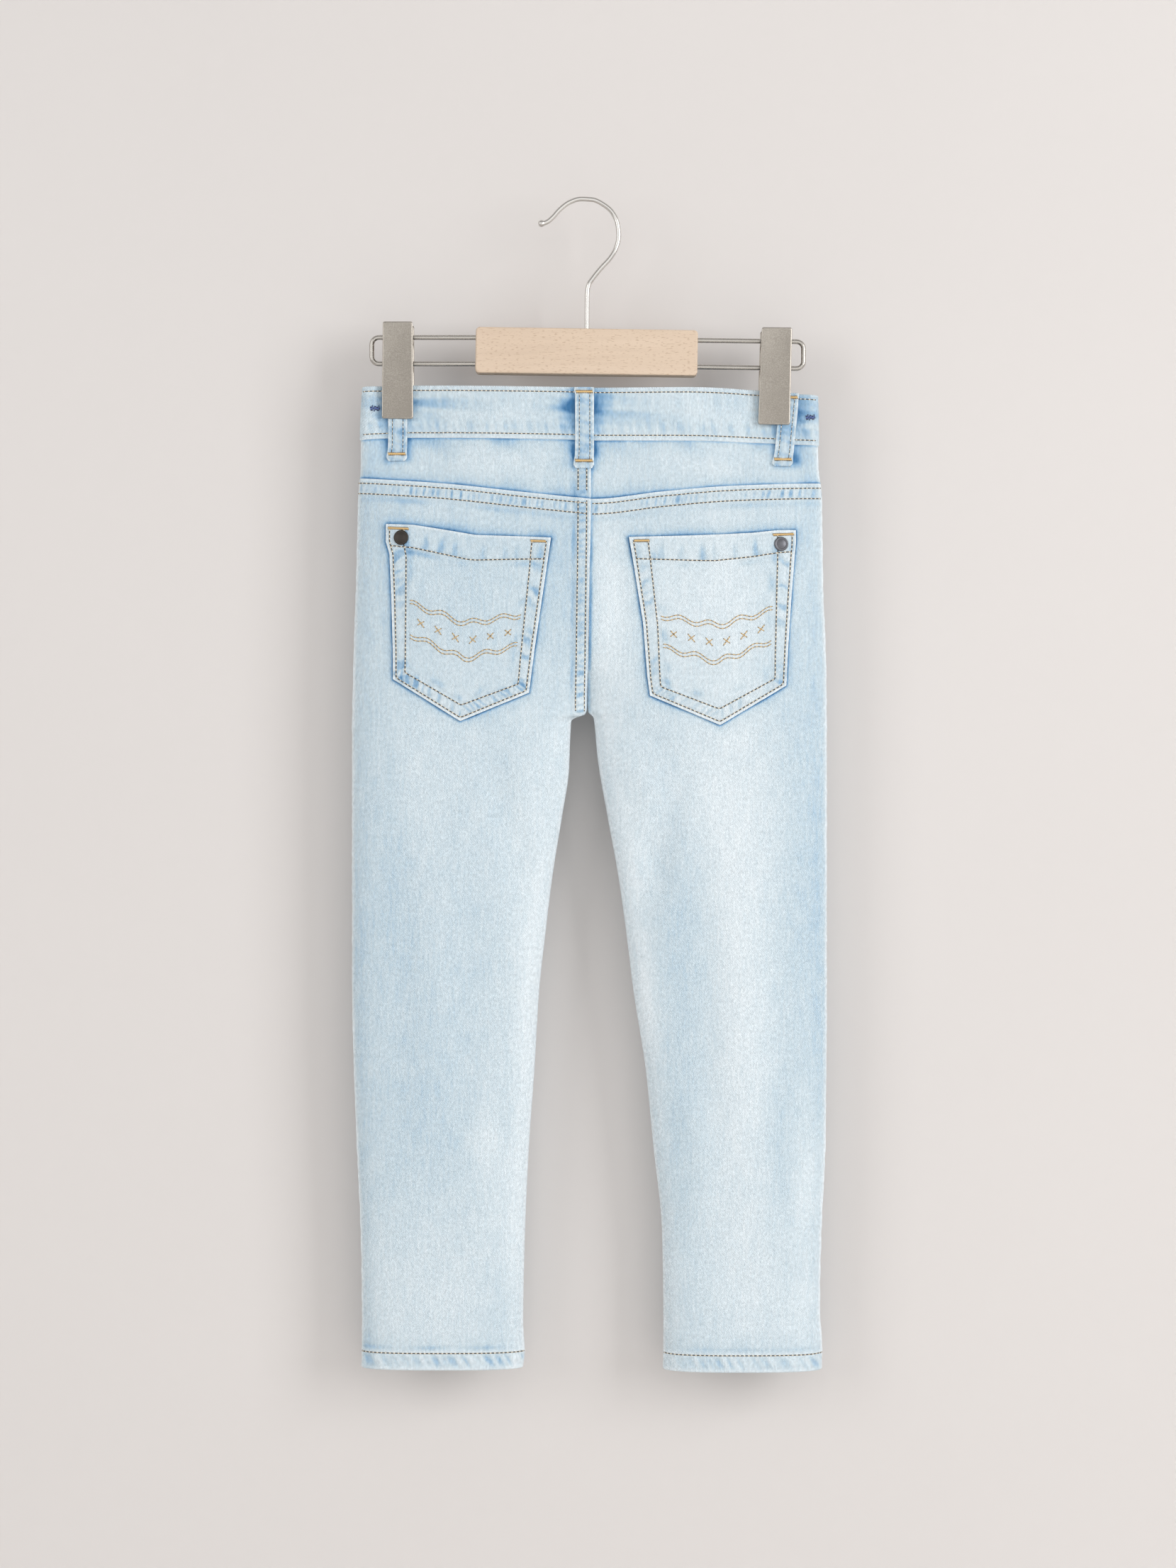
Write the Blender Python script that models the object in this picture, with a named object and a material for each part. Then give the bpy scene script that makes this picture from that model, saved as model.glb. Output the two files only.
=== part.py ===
"""Child's straight-leg jeans held by the waist in a wooden clip hanger.

The frame is +Z up, +X to the right and -Y towards the viewer. The back of
the jeans faces -Y. The origin is under the crown of the hanger's hook, where
a rail carries it. Sizes here are in millimetres; add_mesh turns them into
metres.
"""
import math
from collections import namedtuple

import bmesh
import bpy
from mathutils import Vector

MM = 0.001
BACK = -1
FRONT = 1
SIDES = ("left", "right")

# Cloth and seam sizes
SEAM_GAP = 0.3
REST_GAP = 0.4
CLOTH = 1.2
HEM_WALL = 2.2
HEM_HEIGHT = 11.0
HEM_RAISE = 0.5
BAND_WALL = 2.6
BAND_RAISE = 0.6
LAP_RAISE = 0.5
LAP_WIDTH = 9.0
STEP = 1.5

# How the two faces of the garment part from each other
TRUNK_ROUND = 4.5
LEG_ROUND = 3.0
CROTCH_Z = -333.0
CROTCH_FADE = 60.0
WAIST_LOW = -200.0
WAIST_HIGH = -142.0
WAIST_EDGE = 0.03

Outline = namedtuple("Outline", "z outer inner")
OUTLINE = {
    "left": (
        Outline(-119.0, -142.2, 3.4),
        Outline(-153.4, -143.7, 3.9),
        Outline(-171.6, -143.8, 4.2),
        Outline(-189.0, -145.2, 4.2),
        Outline(-241.5, -146.6, 3.7),
        Outline(-288.1, -148.1, 3.1),
        Outline(-312.0, -148.7, 2.5),
        Outline(-326.5, -149.0, 2.3),
        Outline(-330.0, -149.1, 0.8),
        Outline(-333.2, -149.2, -4.3),
        Outline(-336.0, -149.2, -7.8),
        Outline(-346.0, -149.2, -8.6),
        Outline(-367.5, -149.2, -9.6),
        Outline(-394.0, -149.2, -13.6),
        Outline(-432.8, -149.2, -19.9),
        Outline(-473.4, -149.2, -24.9),
        Outline(-509.5, -149.1, -28.8),
        Outline(-558.3, -148.0, -31.7),
        Outline(-615.4, -145.7, -35.7),
        Outline(-672.4, -143.3, -38.1),
        Outline(-721.3, -142.8, -39.0),
        Outline(-749.6, -143.1, -38.9),
    ),
    "right": (
        Outline(-119.0, 150.4, 3.4),
        Outline(-153.4, 151.0, 3.9),
        Outline(-171.6, 151.4, 4.2),
        Outline(-189.0, 153.3, 4.2),
        Outline(-253.4, 154.4, 3.6),
        Outline(-288.1, 155.8, 3.1),
        Outline(-312.0, 156.3, 2.5),
        Outline(-325.0, 156.4, 2.3),
        Outline(-328.5, 156.5, 3.6),
        Outline(-331.4, 156.5, 5.6),
        Outline(-337.4, 156.5, 6.6),
        Outline(-357.4, 156.5, 8.8),
        Outline(-398.1, 156.5, 15.7),
        Outline(-432.8, 156.5, 22.0),
        Outline(-469.3, 156.5, 27.2),
        Outline(-509.5, 156.5, 32.2),
        Outline(-558.3, 156.2, 39.8),
        Outline(-607.1, 155.6, 44.7),
        Outline(-664.2, 152.9, 50.4),
        Outline(-713.1, 152.0, 51.2),
        Outline(-737.7, 153.6, 51.2),
        Outline(-750.6, 153.2, 50.9),
    ),
}
HEM_Z = {"left": -749.6, "right": -750.6}

# How far each face stands from the middle plane, seat to hem
Depth = namedtuple("Depth", "z left right")
DEPTH = (
    Depth(-150.0, 9.0, 9.5),
    Depth(-190.0, 12.0, 12.5),
    Depth(-240.0, 14.0, 15.0),
    Depth(-290.0, 14.5, 16.0),
    Depth(-333.0, 14.0, 15.5),
    Depth(-390.0, 13.0, 14.5),
    Depth(-460.0, 12.5, 14.5),
    Depth(-520.0, 12.0, 14.0),
    Depth(-600.0, 11.5, 13.5),
    Depth(-680.0, 12.0, 14.0),
    Depth(-751.0, 13.5, 16.0),
)

# The same at the waist, from the side fold to the centre; the clips pinch it
Waist = namedtuple("Waist", "across depth")
WAIST = (
    Waist(0.0, 4.2),
    Waist(0.05, 4.2),
    Waist(0.09, 2.6),
    Waist(0.27, 2.6),
    Waist(0.42, 5.2),
    Waist(0.62, 7.4),
    Waist(0.82, 7.2),
    Waist(1.0, 6.6),
)

# Waistband edges on the back; the front dips below them at its centre
Band = namedtuple("Band", "x top bottom")
BAND = (
    Band(-144.0, -119.8, -153.9),
    Band(-125.0, -119.3, -152.7),
    Band(-108.0, -118.9, -152.4),
    Band(-56.0, -119.7, -153.1),
    Band(-8.0, -120.4, -154.0),
    Band(6.6, -120.8, -154.5),
    Band(71.6, -120.4, -154.7),
    Band(112.0, -122.1, -155.8),
    Band(134.7, -124.3, -156.8),
    Band(152.0, -125.4, -157.6),
)
FRONT_DIP = 14.0
FRONT_DIP_REACH = 105.0

Seam = namedtuple("Seam", "x z")
YOKE_SEAM = (
    Seam(-146.0, -179.0),
    Seam(-88.8, -183.2),
    Seam(-41.1, -188.4),
    Seam(-4.7, -192.2),
    Seam(6.1, -193.2),
    Seam(50.5, -188.4),
    Seam(92.1, -184.8),
    Seam(154.0, -182.4),
)

# Large soft folds: a ridge or trough from one height to another
Fold = namedtuple("Fold", "side face x lean top bottom reach height")
FOLDS = (
    Fold("right", BACK, 100.0, -0.02, -390.0, -690.0, 26.0, 2.6),
    Fold("left", BACK, -92.0, 0.03, -400.0, -640.0, 24.0, 1.6),
    Fold("left", BACK, -62.0, -0.25, -345.0, -470.0, 16.0, -2.0),
    Fold("right", BACK, 62.0, 0.22, -350.0, -500.0, 18.0, -2.2),
    Fold("right", FRONT, 96.0, 0.02, -380.0, -700.0, 26.0, 2.4),
    Fold("left", FRONT, -96.0, -0.02, -370.0, -670.0, 26.0, 2.2),
    Fold("left", FRONT, -60.0, -0.2, -330.0, -450.0, 18.0, -2.4),
    Fold("right", FRONT, 66.0, 0.24, -335.0, -480.0, 18.0, -2.2),
)

# Pocket edges on the back, each from its first corner to its last
Spot = namedtuple("Spot", "x z")
POCKETS = {
    "left": {
        "top": (
            Spot(-126.1, -209.1),
            Spot(-109.0, -209.8),
            Spot(-86.0, -213.6),
            Spot(-68.8, -216.5),
            Spot(-39.9, -217.4),
            Spot(-21.4, -218.1),
        ),
        "outer": (
            Spot(-126.1, -209.1),
            Spot(-126.2, -219.9),
            Spot(-123.9, -228.0),
            Spot(-122.8, -254.7),
            Spot(-121.7, -289.0),
            Spot(-121.6, -308.0),
        ),
        "inner": (
            Spot(-21.4, -218.1),
            Spot(-25.0, -242.9),
            Spot(-31.8, -289.0),
            Spot(-35.4, -316.6),
        ),
        "point": (
            Spot(-121.6, -308.0),
            Spot(-79.0, -334.6),
            Spot(-35.4, -316.6),
        ),
    },
    "right": {
        "top": (
            Spot(135.1, -213.1),
            Spot(123.9, -213.3),
            Spot(107.7, -215.1),
            Spot(90.5, -216.0),
            Spot(67.5, -216.9),
            Spot(29.3, -217.8),
        ),
        "outer": (
            Spot(135.1, -213.1),
            Spot(135.2, -220.0),
            Spot(132.5, -254.8),
            Spot(130.2, -289.1),
            Spot(129.1, -312.1),
        ),
        "inner": (
            Spot(29.3, -217.8),
            Spot(31.8, -231.8),
            Spot(38.2, -271.9),
            Spot(41.0, -306.2),
            Spot(42.7, -318.4),
        ),
        "point": (
            Spot(129.1, -312.1),
            Spot(87.1, -337.2),
            Spot(42.7, -318.4),
        ),
    },
}

Loop = namedtuple("Loop", "name face x_top x_bottom drop")
LOOP_WIDTH = 12.3
LOOP_WALL = 1.6
LOOP_ROUND = 0.3
LOOPS = (
    Loop("belt_loop_back_left", BACK, -119.4, -119.6, 48.0),
    Loop("belt_loop_back_centre", BACK, 0.5, 0.5, 51.5),
    Loop("belt_loop_back_right", BACK, 132.4, 127.8, 46.5),
    Loop("belt_loop_front_left", FRONT, -72.0, -73.5, 47.0),
    Loop("belt_loop_front_right", FRONT, 77.0, 79.0, 47.0),
)

Rivet = namedtuple("Rivet", "name x z radius")
RIVETS = (
    Rivet("rivet_left", -116.6, -217.6, 4.8),
    Rivet("rivet_right", 126.0, -221.8, 4.6),
)
RIVET_HEIGHT = 1.5

# Front details
SCOOP_ACROSS = 0.42
SCOOP_DROP = 58.0
FACING_LAP = 9.0
FACING_WALL = 1.0
FACING_GAP = 0.5
FACING_LEAST = 1.6
FRONT_TIED = (0.0, 4.0, 12.0)
UNDERLAP_X = -20.0
OVERLAP_X = 13.0
FLY = {
    "top": (Spot(-31.0, 0.0), Spot(2.0, 0.0)),
    "left": (Spot(-31.0, 0.0), Spot(-30.5, -34.0), Spot(-26.0, -52.0)),
    "right": (Spot(2.0, 0.0), Spot(2.0, -40.0), Spot(1.4, -66.0)),
    "bottom": (Spot(-26.0, -52.0), Spot(-15.0, -62.0), Spot(1.4, -66.0)),
}
BUTTON_X = 1.5
BUTTON_RADIUS = 7.8
BUTTON_HEIGHT = 2.6

# Hanger
BAR_CORNERS = (
    Spot(-69.2, -81.6),
    Spot(73.4, -83.8),
    Spot(72.9, -113.0),
    Spot(-69.7, -111.1),
)
BAR_HALF = 6.5
BAR_CORNER = 2.6
BAR_BEVEL = 1.0
WIRE_RADIUS = 1.55
BORE_RADIUS = 1.9
BORE_DEPTH = 13.0
Arm = namedtuple("Arm", "side x_in x_out z_in_top z_out_top z_in_low z_out_low")
ARMS = (
    Arm("left", -58.0, -136.5, -87.7, -87.7, -104.7, -104.7),
    Arm("right", 62.0, 141.5, -89.4, -90.4, -106.5, -107.7),
)
ARM_CORNER = 4.6
HOOK = (
    Spot(-29.2, -14.6),
    Spot(-24.4, -13.7),
    Spot(-20.3, -10.7),
    Spot(-15.3, -5.2),
    Spot(-9.1, -0.6),
    Spot(-1.8, 1.55),
    Spot(5.7, 1.1),
    Spot(13.0, -2.3),
    Spot(18.5, -7.3),
    Spot(21.7, -14.4),
    Spot(22.6, -22.4),
    Spot(20.8, -30.1),
    Spot(17.1, -36.5),
    Spot(11.6, -42.5),
    Spot(5.7, -49.8),
    Spot(3.0, -54.2),
    Spot(2.2, -60.0),
    Spot(2.1, -81.0),
    Spot(2.1, -93.5),
)
TIP_RADIUS = 2.3

Clip = namedtuple("Clip", "side top_left top_right low_right low_left")
CLIPS = (
    Clip(
        "left",
        Spot(-128.8, -78.8),
        Spot(-109.7, -78.8),
        Spot(-109.4, -140.9),
        Spot(-129.7, -140.6),
    ),
    Clip(
        "right",
        Spot(114.2, -82.5),
        Spot(133.6, -82.7),
        Spot(132.4, -144.7),
        Spot(111.9, -144.4),
    ),
)
PLATE_WALL = 1.2
PLATE_TOP = 9.4
NEAR_LIP = 6.3
FAR_LIP = 4.3
PLATE_CORNER = 1.6
SPRING_WALL = 0.7
SPRING_REACH = 7.3
SPRING_SHIFT = -0.28
SPRING_HALF_HEIGHT = 6.55
SPRING_WIDTH = 12.0

Look = namedtuple("Look", "colour metallic roughness")
DENIM = Look((0.58, 0.70, 0.78, 1.0), 0.0, 0.9)
BEECH = Look((0.75, 0.58, 0.42, 1.0), 0.0, 0.5)
NICKEL = Look((0.48, 0.45, 0.41, 1.0), 1.0, 0.35)
WIRE = Look((0.62, 0.60, 0.57, 1.0), 1.0, 0.25)
ANTIQUE = Look((0.09, 0.08, 0.07, 1.0), 1.0, 0.45)


# Readings

def smooth(low, high, value):
    """A soft step from 0 at low to 1 at high."""
    part = min(1.0, max(0.0, (value - low) / (high - low)))
    return part * part * (3.0 - 2.0 * part)


def slope(keys, values, index):
    """The tangent at one row, flat where the values turn."""
    if index in (0, len(keys) - 1):
        near = 1 if index == 0 else index
        return (values[near] - values[near - 1]) / (keys[near] - keys[near - 1])
    before = (values[index] - values[index - 1]) / (keys[index] - keys[index - 1])
    after = (values[index + 1] - values[index]) / (keys[index + 1] - keys[index])
    if before * after <= 0.0:
        return 0.0
    return 2.0 * before * after / (before + after)


def read(rows, key, column):
    """A column of a table, read smoothly between the rows beside the key."""
    keys = [row[0] for row in rows]
    values = [getattr(row, column) for row in rows]
    if keys[0] > keys[-1]:
        keys.reverse()
        values.reverse()
    key = min(keys[-1], max(keys[0], key))
    index = 0
    while index < len(keys) - 2 and key > keys[index + 1]:
        index += 1
    width = keys[index + 1] - keys[index]
    part = (key - keys[index]) / width
    start = slope(keys, values, index) * width
    end = slope(keys, values, index + 1) * width
    square = part * part
    cube = square * part
    return (
        (2 * cube - 3 * square + 1) * values[index]
        + (cube - 2 * square + part) * start
        + (3 * square - 2 * cube) * values[index + 1]
        + (cube - square) * end
    )


# The hung garment's form

def edge_x(side, z, column):
    """Outer or inner edge of one side, with half the seam gap taken off."""
    sign = 1.0 if side == "right" else -1.0
    gap = sign * SEAM_GAP / 2 if column == "inner" else 0.0
    return read(OUTLINE[side], z, column) + gap


def across(side, x, z):
    """Where x lies between the side fold (0) and the inner edge (1)."""
    outer = edge_x(side, z, "outer")
    inner = edge_x(side, z, "inner")
    return (x - outer) / (inner - outer)


def depth(side, face, u, x, z):
    """How far the cloth stands from the middle plane."""
    join = smooth(CROTCH_Z, CROTCH_Z + CROTCH_FADE, z)
    trunk = math.sqrt(max(0.0, 1.0 - (1.0 - u) ** TRUNK_ROUND))
    tube = math.sqrt(max(0.0, 1.0 - abs(2.0 * u - 1.0) ** LEG_ROUND))
    around = join * trunk + (1.0 - join) * tube
    seat = read(DEPTH, z, side) * around
    turn = 1.0 - min(1.0, u / WAIST_EDGE)
    waist = read(WAIST, u, "depth") * math.sqrt(1.0 - turn * turn)
    grip = smooth(WAIST_LOW, WAIST_HIGH, z)
    total = grip * waist + (1.0 - grip) * seat
    for fold in FOLDS:
        if fold.side == side and fold.face == face:
            middle = fold.x + fold.lean * (z - fold.top)
            off = (x - middle) / fold.reach
            span = (z - fold.bottom) / (fold.top - fold.bottom)
            if abs(off) < 1.0 and 0.0 < span < 1.0:
                shape = (1.0 - off * off) ** 2 * math.sin(math.pi * span)
                total += fold.height * shape * around
    return total


def base_point(side, face, u, z):
    """A point on the outside of the cloth before any raise."""
    outer = edge_x(side, z, "outer")
    inner = edge_x(side, z, "inner")
    x = outer + u * (inner - outer)
    y = face * (SEAM_GAP / 2 + depth(side, face, u, x, z))
    return Vector((x, y, z))


def normal_at(side, face, u, z):
    """The way out of the cloth at a point."""
    out = -1.0 if side == "left" else 1.0
    if u <= 0.0:
        return Vector((out, 0.0, 0.0))
    if u >= 1.0:
        join = smooth(CROTCH_Z, CROTCH_Z + CROTCH_FADE, z)
        return Vector((-out * (1.0 - join), face * join, 0.0)).normalized()
    reach = min(0.01, u / 2, (1.0 - u) / 2)
    along = base_point(side, face, u + reach, z) - base_point(side, face, u - reach, z)
    down = base_point(side, face, u, z - 1.0) - base_point(side, face, u, z + 1.0)
    way = along.cross(down).normalized()
    if way.y * face < 0.0:
        way = -way
    return way


def skin(side, face, u, z, raised):
    """A point on the cloth, moved out by a raise."""
    return base_point(side, face, u, z) + normal_at(side, face, u, z) * raised


def skin_xz(face, x, z, raised):
    """The same, from a place on the face."""
    seam = read(OUTLINE["right"], max(z, CROTCH_Z + 8.0), "inner")
    side = "right" if x > seam else "left"
    u = min(1.0, max(0.0, across(side, x, z)))
    return skin(side, face, u, z, raised)


def spread(count):
    """Columns from 0 to 1, close together at both folds."""
    return [(1.0 - math.cos(math.pi * i / count)) / 2.0 for i in range(count + 1)]


def band_edge(face, x, column):
    """Top or bottom of the waistband at x on one face."""
    dip = 0.0
    if face == FRONT:
        dip = FRONT_DIP * (1.0 - smooth(0.0, FRONT_DIP_REACH, abs(x - 4.0)))
    return read(BAND, x, column) - dip


# Mesh making

def add_mesh(name, points, faces, look):
    """One closed body in metres with its own material."""
    mesh = bpy.data.meshes.new(name)
    mesh.from_pydata([[v * MM for v in p] for p in points], [], faces)
    builder = bmesh.new()
    builder.from_mesh(mesh)
    bmesh.ops.recalc_face_normals(builder, faces=builder.faces)
    builder.to_mesh(mesh)
    builder.free()
    for polygon in mesh.polygons:
        polygon.use_smooth = True
    material = bpy.data.materials.new(name)
    material.use_nodes = True
    shader = material.node_tree.nodes["Principled BSDF"]
    shader.inputs["Base Color"].default_value = look.colour
    shader.inputs["Metallic"].default_value = look.metallic
    shader.inputs["Roughness"].default_value = look.roughness
    material.diffuse_color = look.colour
    mesh.materials.append(material)
    body = bpy.data.objects.new(name, mesh)
    bpy.context.scene.collection.objects.link(body)
    return body


def add_cloth(name, outside, inside, look=DENIM):
    """A closed sheet from a grid of outer points and a grid of inner ones."""
    rows = len(outside)
    columns = len(outside[0])
    points = [p for row in outside for p in row]
    points += [p for row in inside for p in row]
    shift = rows * columns
    faces = []
    for j in range(rows - 1):
        for i in range(columns - 1):
            a = j * columns + i
            quad = (a, a + 1, a + columns + 1, a + columns)
            faces.append(quad)
            faces.append(tuple(shift + k for k in reversed(quad)))
    rim = [i for i in range(columns)]
    rim += [j * columns + columns - 1 for j in range(1, rows)]
    rim += [(rows - 1) * columns + i for i in range(columns - 2, -1, -1)]
    rim += [j * columns for j in range(rows - 2, 0, -1)]
    for k, here in enumerate(rim):
        after = rim[(k + 1) % len(rim)]
        faces.append((after, here, shift + here, shift + after))
    return add_mesh(name, points, faces, look)


def add_tube(name, path, radii, look, sides=10):
    """A round wire along a path that lies in one upright plane."""
    points = []
    faces = []
    count = len(path)
    for k, place in enumerate(path):
        ahead = path[min(count - 1, k + 1)] - path[max(0, k - 1)]
        ahead.normalize()
        side = Vector((0.0, 1.0, 0.0))
        up = ahead.cross(side)
        for i in range(sides):
            angle = 2.0 * math.pi * i / sides
            ring = side * math.cos(angle) + up * math.sin(angle)
            points.append(place + ring * radii[k])
    for k in range(count - 1):
        for i in range(sides):
            a = k * sides + i
            b = k * sides + (i + 1) % sides
            faces.append((a, b, b + sides, a + sides))
    faces.append(tuple(range(sides)))
    faces.append(tuple((count - 1) * sides + i for i in range(sides)))
    return add_mesh(name, points, faces, look)


def add_dome(name, centre, way, rings, look, sides=16):
    """A round stud from rings of (radius, height) about a point."""
    across_x = way.cross(Vector((0.0, 0.0, 1.0))).normalized()
    across_z = across_x.cross(way)
    points = []
    faces = []
    for radius, height in rings:
        for i in range(sides):
            angle = 2.0 * math.pi * i / sides
            ring = across_x * math.cos(angle) + across_z * math.sin(angle)
            points.append(centre + ring * radius + way * height)
    for k in range(len(rings) - 1):
        for i in range(sides):
            a = k * sides + i
            b = k * sides + (i + 1) % sides
            faces.append((a, b, b + sides, a + sides))
    faces.append(tuple(range(sides)))
    faces.append(tuple((len(rings) - 1) * sides + i for i in range(sides)))
    return add_mesh(name, points, faces, look)


# Legs and yokes

LEG_LEVELS = (
    -268.0, -290.0, -306.0, -317.0, -325.0, -329.5, -333.0, -337.0, -346.0,
    -362.0, -384.0, -412.0, -444.0, -478.0, -512.0, -546.0, -580.0, -614.0,
    -648.0, -682.0, -714.0,
)
JOIN_ROWS = 4
COLUMNS = 12
YOKE_COLUMNS = 22


def column_heights(top, tied, levels, end):
    """Heights down one column: rows tied to the top, free levels, the hem."""
    heights = [top - drop for drop in tied]
    start = heights[-1]
    for k in range(1, JOIN_ROWS):
        heights.append(start + (levels[0] - start) * k / JOIN_ROWS)
    heights += levels
    heights += [end + HEM_HEIGHT + STEP, end + HEM_HEIGHT, end]
    return heights


def add_leg(name, side, face, top_of, tied, lap_rows):
    """One leg panel from its upper seam to the turned hem."""
    outside = []
    inside = []
    for u in spread(COLUMNS):
        heights = column_heights(top_of(side, u), tied, LEG_LEVELS, HEM_Z[side])
        outer = []
        inner = []
        for k, z in enumerate(heights):
            in_hem = k >= len(heights) - 2
            raised = 0.0
            if in_hem:
                raised = HEM_RAISE
            elif k < lap_rows:
                raised = LAP_RAISE
            outer.append(skin(side, face, u, z, raised))
            inner.append(skin(side, face, u, z, -(HEM_WALL if in_hem else CLOTH)))
        outside.append(outer)
        inside.append(inner)
    add_cloth(name, outside, inside)


def yoke_seam_z(side, u):
    """Height of the yoke seam, solved for the column's own x."""
    z = -185.0
    for _ in range(4):
        outer = edge_x(side, z, "outer")
        inner = edge_x(side, z, "inner")
        z = read(YOKE_SEAM, outer + u * (inner - outer), "z")
    return z


def band_z(side, face, u, column):
    """Height of a waistband edge, solved for the column's own x."""
    z = -155.0
    for _ in range(4):
        outer = edge_x(side, z, "outer")
        inner = edge_x(side, z, "inner")
        z = band_edge(face, outer + u * (inner - outer), column)
    return z


def back_top(side, u):
    return yoke_seam_z(side, u) - SEAM_GAP / 2


def scoop(u):
    """How far the front pocket opening lies below the waistband."""
    part = min(1.0, u / SCOOP_ACROSS)
    return SCOOP_DROP * (1.0 - part ** 2.4) ** 0.9


def front_top(side, u):
    return band_z(side, FRONT, u, "bottom") - SEAM_GAP - scoop(u)


def add_yoke(side):
    outside = []
    inside = []
    for u in spread(YOKE_COLUMNS):
        top = band_z(side, BACK, u, "bottom") - SEAM_GAP
        low = yoke_seam_z(side, u) + SEAM_GAP / 2
        heights = [top + (low - top) * k / 3 for k in range(4)]
        outside.append([skin(side, BACK, u, z, 0.0) for z in heights])
        inside.append([skin(side, BACK, u, z, -CLOTH) for z in heights])
    add_cloth(f"back_yoke_{side}", outside, inside)


def add_facing(side):
    """The cloth that shows inside a front pocket opening."""
    outside = []
    inside = []
    depth_in = CLOTH + FACING_GAP
    for u in spread(COLUMNS)[:COLUMNS // 2 + 1]:
        top = band_z(side, FRONT, u, "bottom") - SEAM_GAP
        edge = top - max(FACING_LEAST, scoop(u))
        heights = [top + (edge - top) * j / 4 for j in range(5)]
        heights += [edge - FRONT_TIED[1], edge - FACING_LAP]
        outside.append([skin(side, FRONT, u, z, -depth_in) for z in heights])
        deep = -depth_in - FACING_WALL
        inside.append([skin(side, FRONT, u, z, deep) for z in heights])
    add_cloth(f"front_facing_{side}", outside, inside)


# Waistband, loops, pockets, fly

BAND_COLUMNS = (0.0, 0.008, 0.02, 0.04, 0.07, 0.1, 0.18, 0.27, 0.36, 0.46, 0.6, 0.75, 0.88, 1.0)
UNDER_STEP = BAND_WALL + SEAM_GAP + 0.1


def band_stations():
    """Face, side, place across and depth in, round from one end to the other."""
    seam = edge_x("right", -150.0, "inner")
    left_width = seam - edge_x("left", -150.0, "outer")
    right_width = edge_x("right", -150.0, "outer") - seam
    under = [
        (FRONT, "left", 1.0 - (seam - UNDERLAP_X) / left_width, UNDER_STEP),
        (FRONT, "left", 1.0 - (seam - UNDERLAP_X / 2) / left_width, UNDER_STEP),
        (FRONT, "left", 0.999, UNDER_STEP),
        (FRONT, "right", 1.0 - (OVERLAP_X + 4.0 - seam) / right_width, UNDER_STEP),
        (FRONT, "right", 1.0 - (OVERLAP_X + 12.0 - seam) / right_width, UNDER_STEP / 2),
        (FRONT, "right", 1.0 - (OVERLAP_X + 20.0 - seam) / right_width, 0.0),
    ]
    around = [(FRONT, "right", u, 0.0) for u in reversed(BAND_COLUMNS[1:-2])]
    around += [(BACK, "right", u, 0.0) for u in BAND_COLUMNS]
    around += [(BACK, "left", u, 0.0) for u in reversed(BAND_COLUMNS[1:])]
    around += [(FRONT, "left", u, 0.0) for u in BAND_COLUMNS[:-1]]
    over = [
        (FRONT, "left", 0.96, 0.0),
        (FRONT, "left", 0.999, 0.0),
        (FRONT, "right", 1.0 - (OVERLAP_X - seam) / right_width, 0.0),
    ]
    return under + around + over


def add_waistband():
    outside = []
    inside = []
    for face, side, u, depth_in in band_stations():
        top = band_z(side, face, u, "top")
        low = band_z(side, face, u, "bottom")
        outer = []
        inner = []
        for part in (0.0, 0.33, 0.67, 1.0):
            z = top + (low - top) * part
            way = normal_at(side, face, u, z)
            base = base_point(side, face, u, z)
            if u <= 0.0:
                base.y = 0.0
            outer.append(base + way * (BAND_RAISE - depth_in))
            inner.append(base + way * (BAND_RAISE - depth_in - BAND_WALL))
        outside.append(outer)
        inside.append(inner)
    add_cloth("waistband", outside, inside)


def add_loop(loop):
    """A belt loop over the waistband, its lower end on the cloth below."""
    top = band_edge(loop.face, loop.x_top, "top") - 0.6
    end = top - loop.drop
    seam = band_edge(loop.face, loop.x_top, "bottom")
    rows = [top, top - 3.0, top - 9.0, (top + seam) / 2, seam + 9.0, seam + 1.0]
    rows += [seam - 4.0, end + 4.0, end + 3.0, end]
    outside = []
    inside = []
    for k, z in enumerate(rows):
        part = (top - z) / loop.drop
        middle = loop.x_top + (loop.x_bottom - loop.x_top) * part
        half = LOOP_WIDTH / 2 + (0.7 if k in (0, len(rows) - 1) else 0.0)
        lift = REST_GAP + BAND_RAISE * smooth(seam - 4.0, seam + 1.0, z)
        outer = []
        inner = []
        for place in (-1.0, -0.4, 0.4, 1.0):
            x = middle + half * place
            base = skin_xz(loop.face, x, z, lift)
            wall = LOOP_WALL - LOOP_ROUND * place * place
            outer.append(base + Vector((0.0, loop.face * wall, 0.0)))
            inner.append(base)
        outside.append(outer)
        inside.append(inner)
    add_cloth(loop.name, outside, inside)


def on_line(spots, part, equal=False):
    """A place along a line of spots, by length or by equal shares."""
    if equal:
        lengths = [1.0] * (len(spots) - 1)
    else:
        lengths = []
        for a, b in zip(spots, spots[1:]):
            lengths.append(math.hypot(b.x - a.x, b.z - a.z))
    want = part * sum(lengths)
    for k, length in enumerate(lengths):
        if want <= length or k == len(lengths) - 1:
            share = min(1.0, want / length)
            a = spots[k]
            b = spots[k + 1]
            return Spot(a.x + (b.x - a.x) * share, a.z + (b.z - a.z) * share)
        want -= length
    return spots[-1]


def patch(first, second, start, end, s, t, equal):
    """A place inside four edges: s runs along first, t along start."""
    a = on_line(first, s)
    b = on_line(second, s, equal)
    c = on_line(start, t)
    d = on_line(end, t)
    x = (1 - t) * a.x + t * b.x + (1 - s) * c.x + s * d.x
    z = (1 - t) * a.z + t * b.z + (1 - s) * c.z + s * d.z
    x -= (1 - s) * ((1 - t) * first[0].x + t * second[0].x)
    x -= s * ((1 - t) * first[-1].x + t * second[-1].x)
    z -= (1 - s) * ((1 - t) * first[0].z + t * second[0].z)
    z -= s * ((1 - t) * first[-1].z + t * second[-1].z)
    return Spot(x, z)


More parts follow.
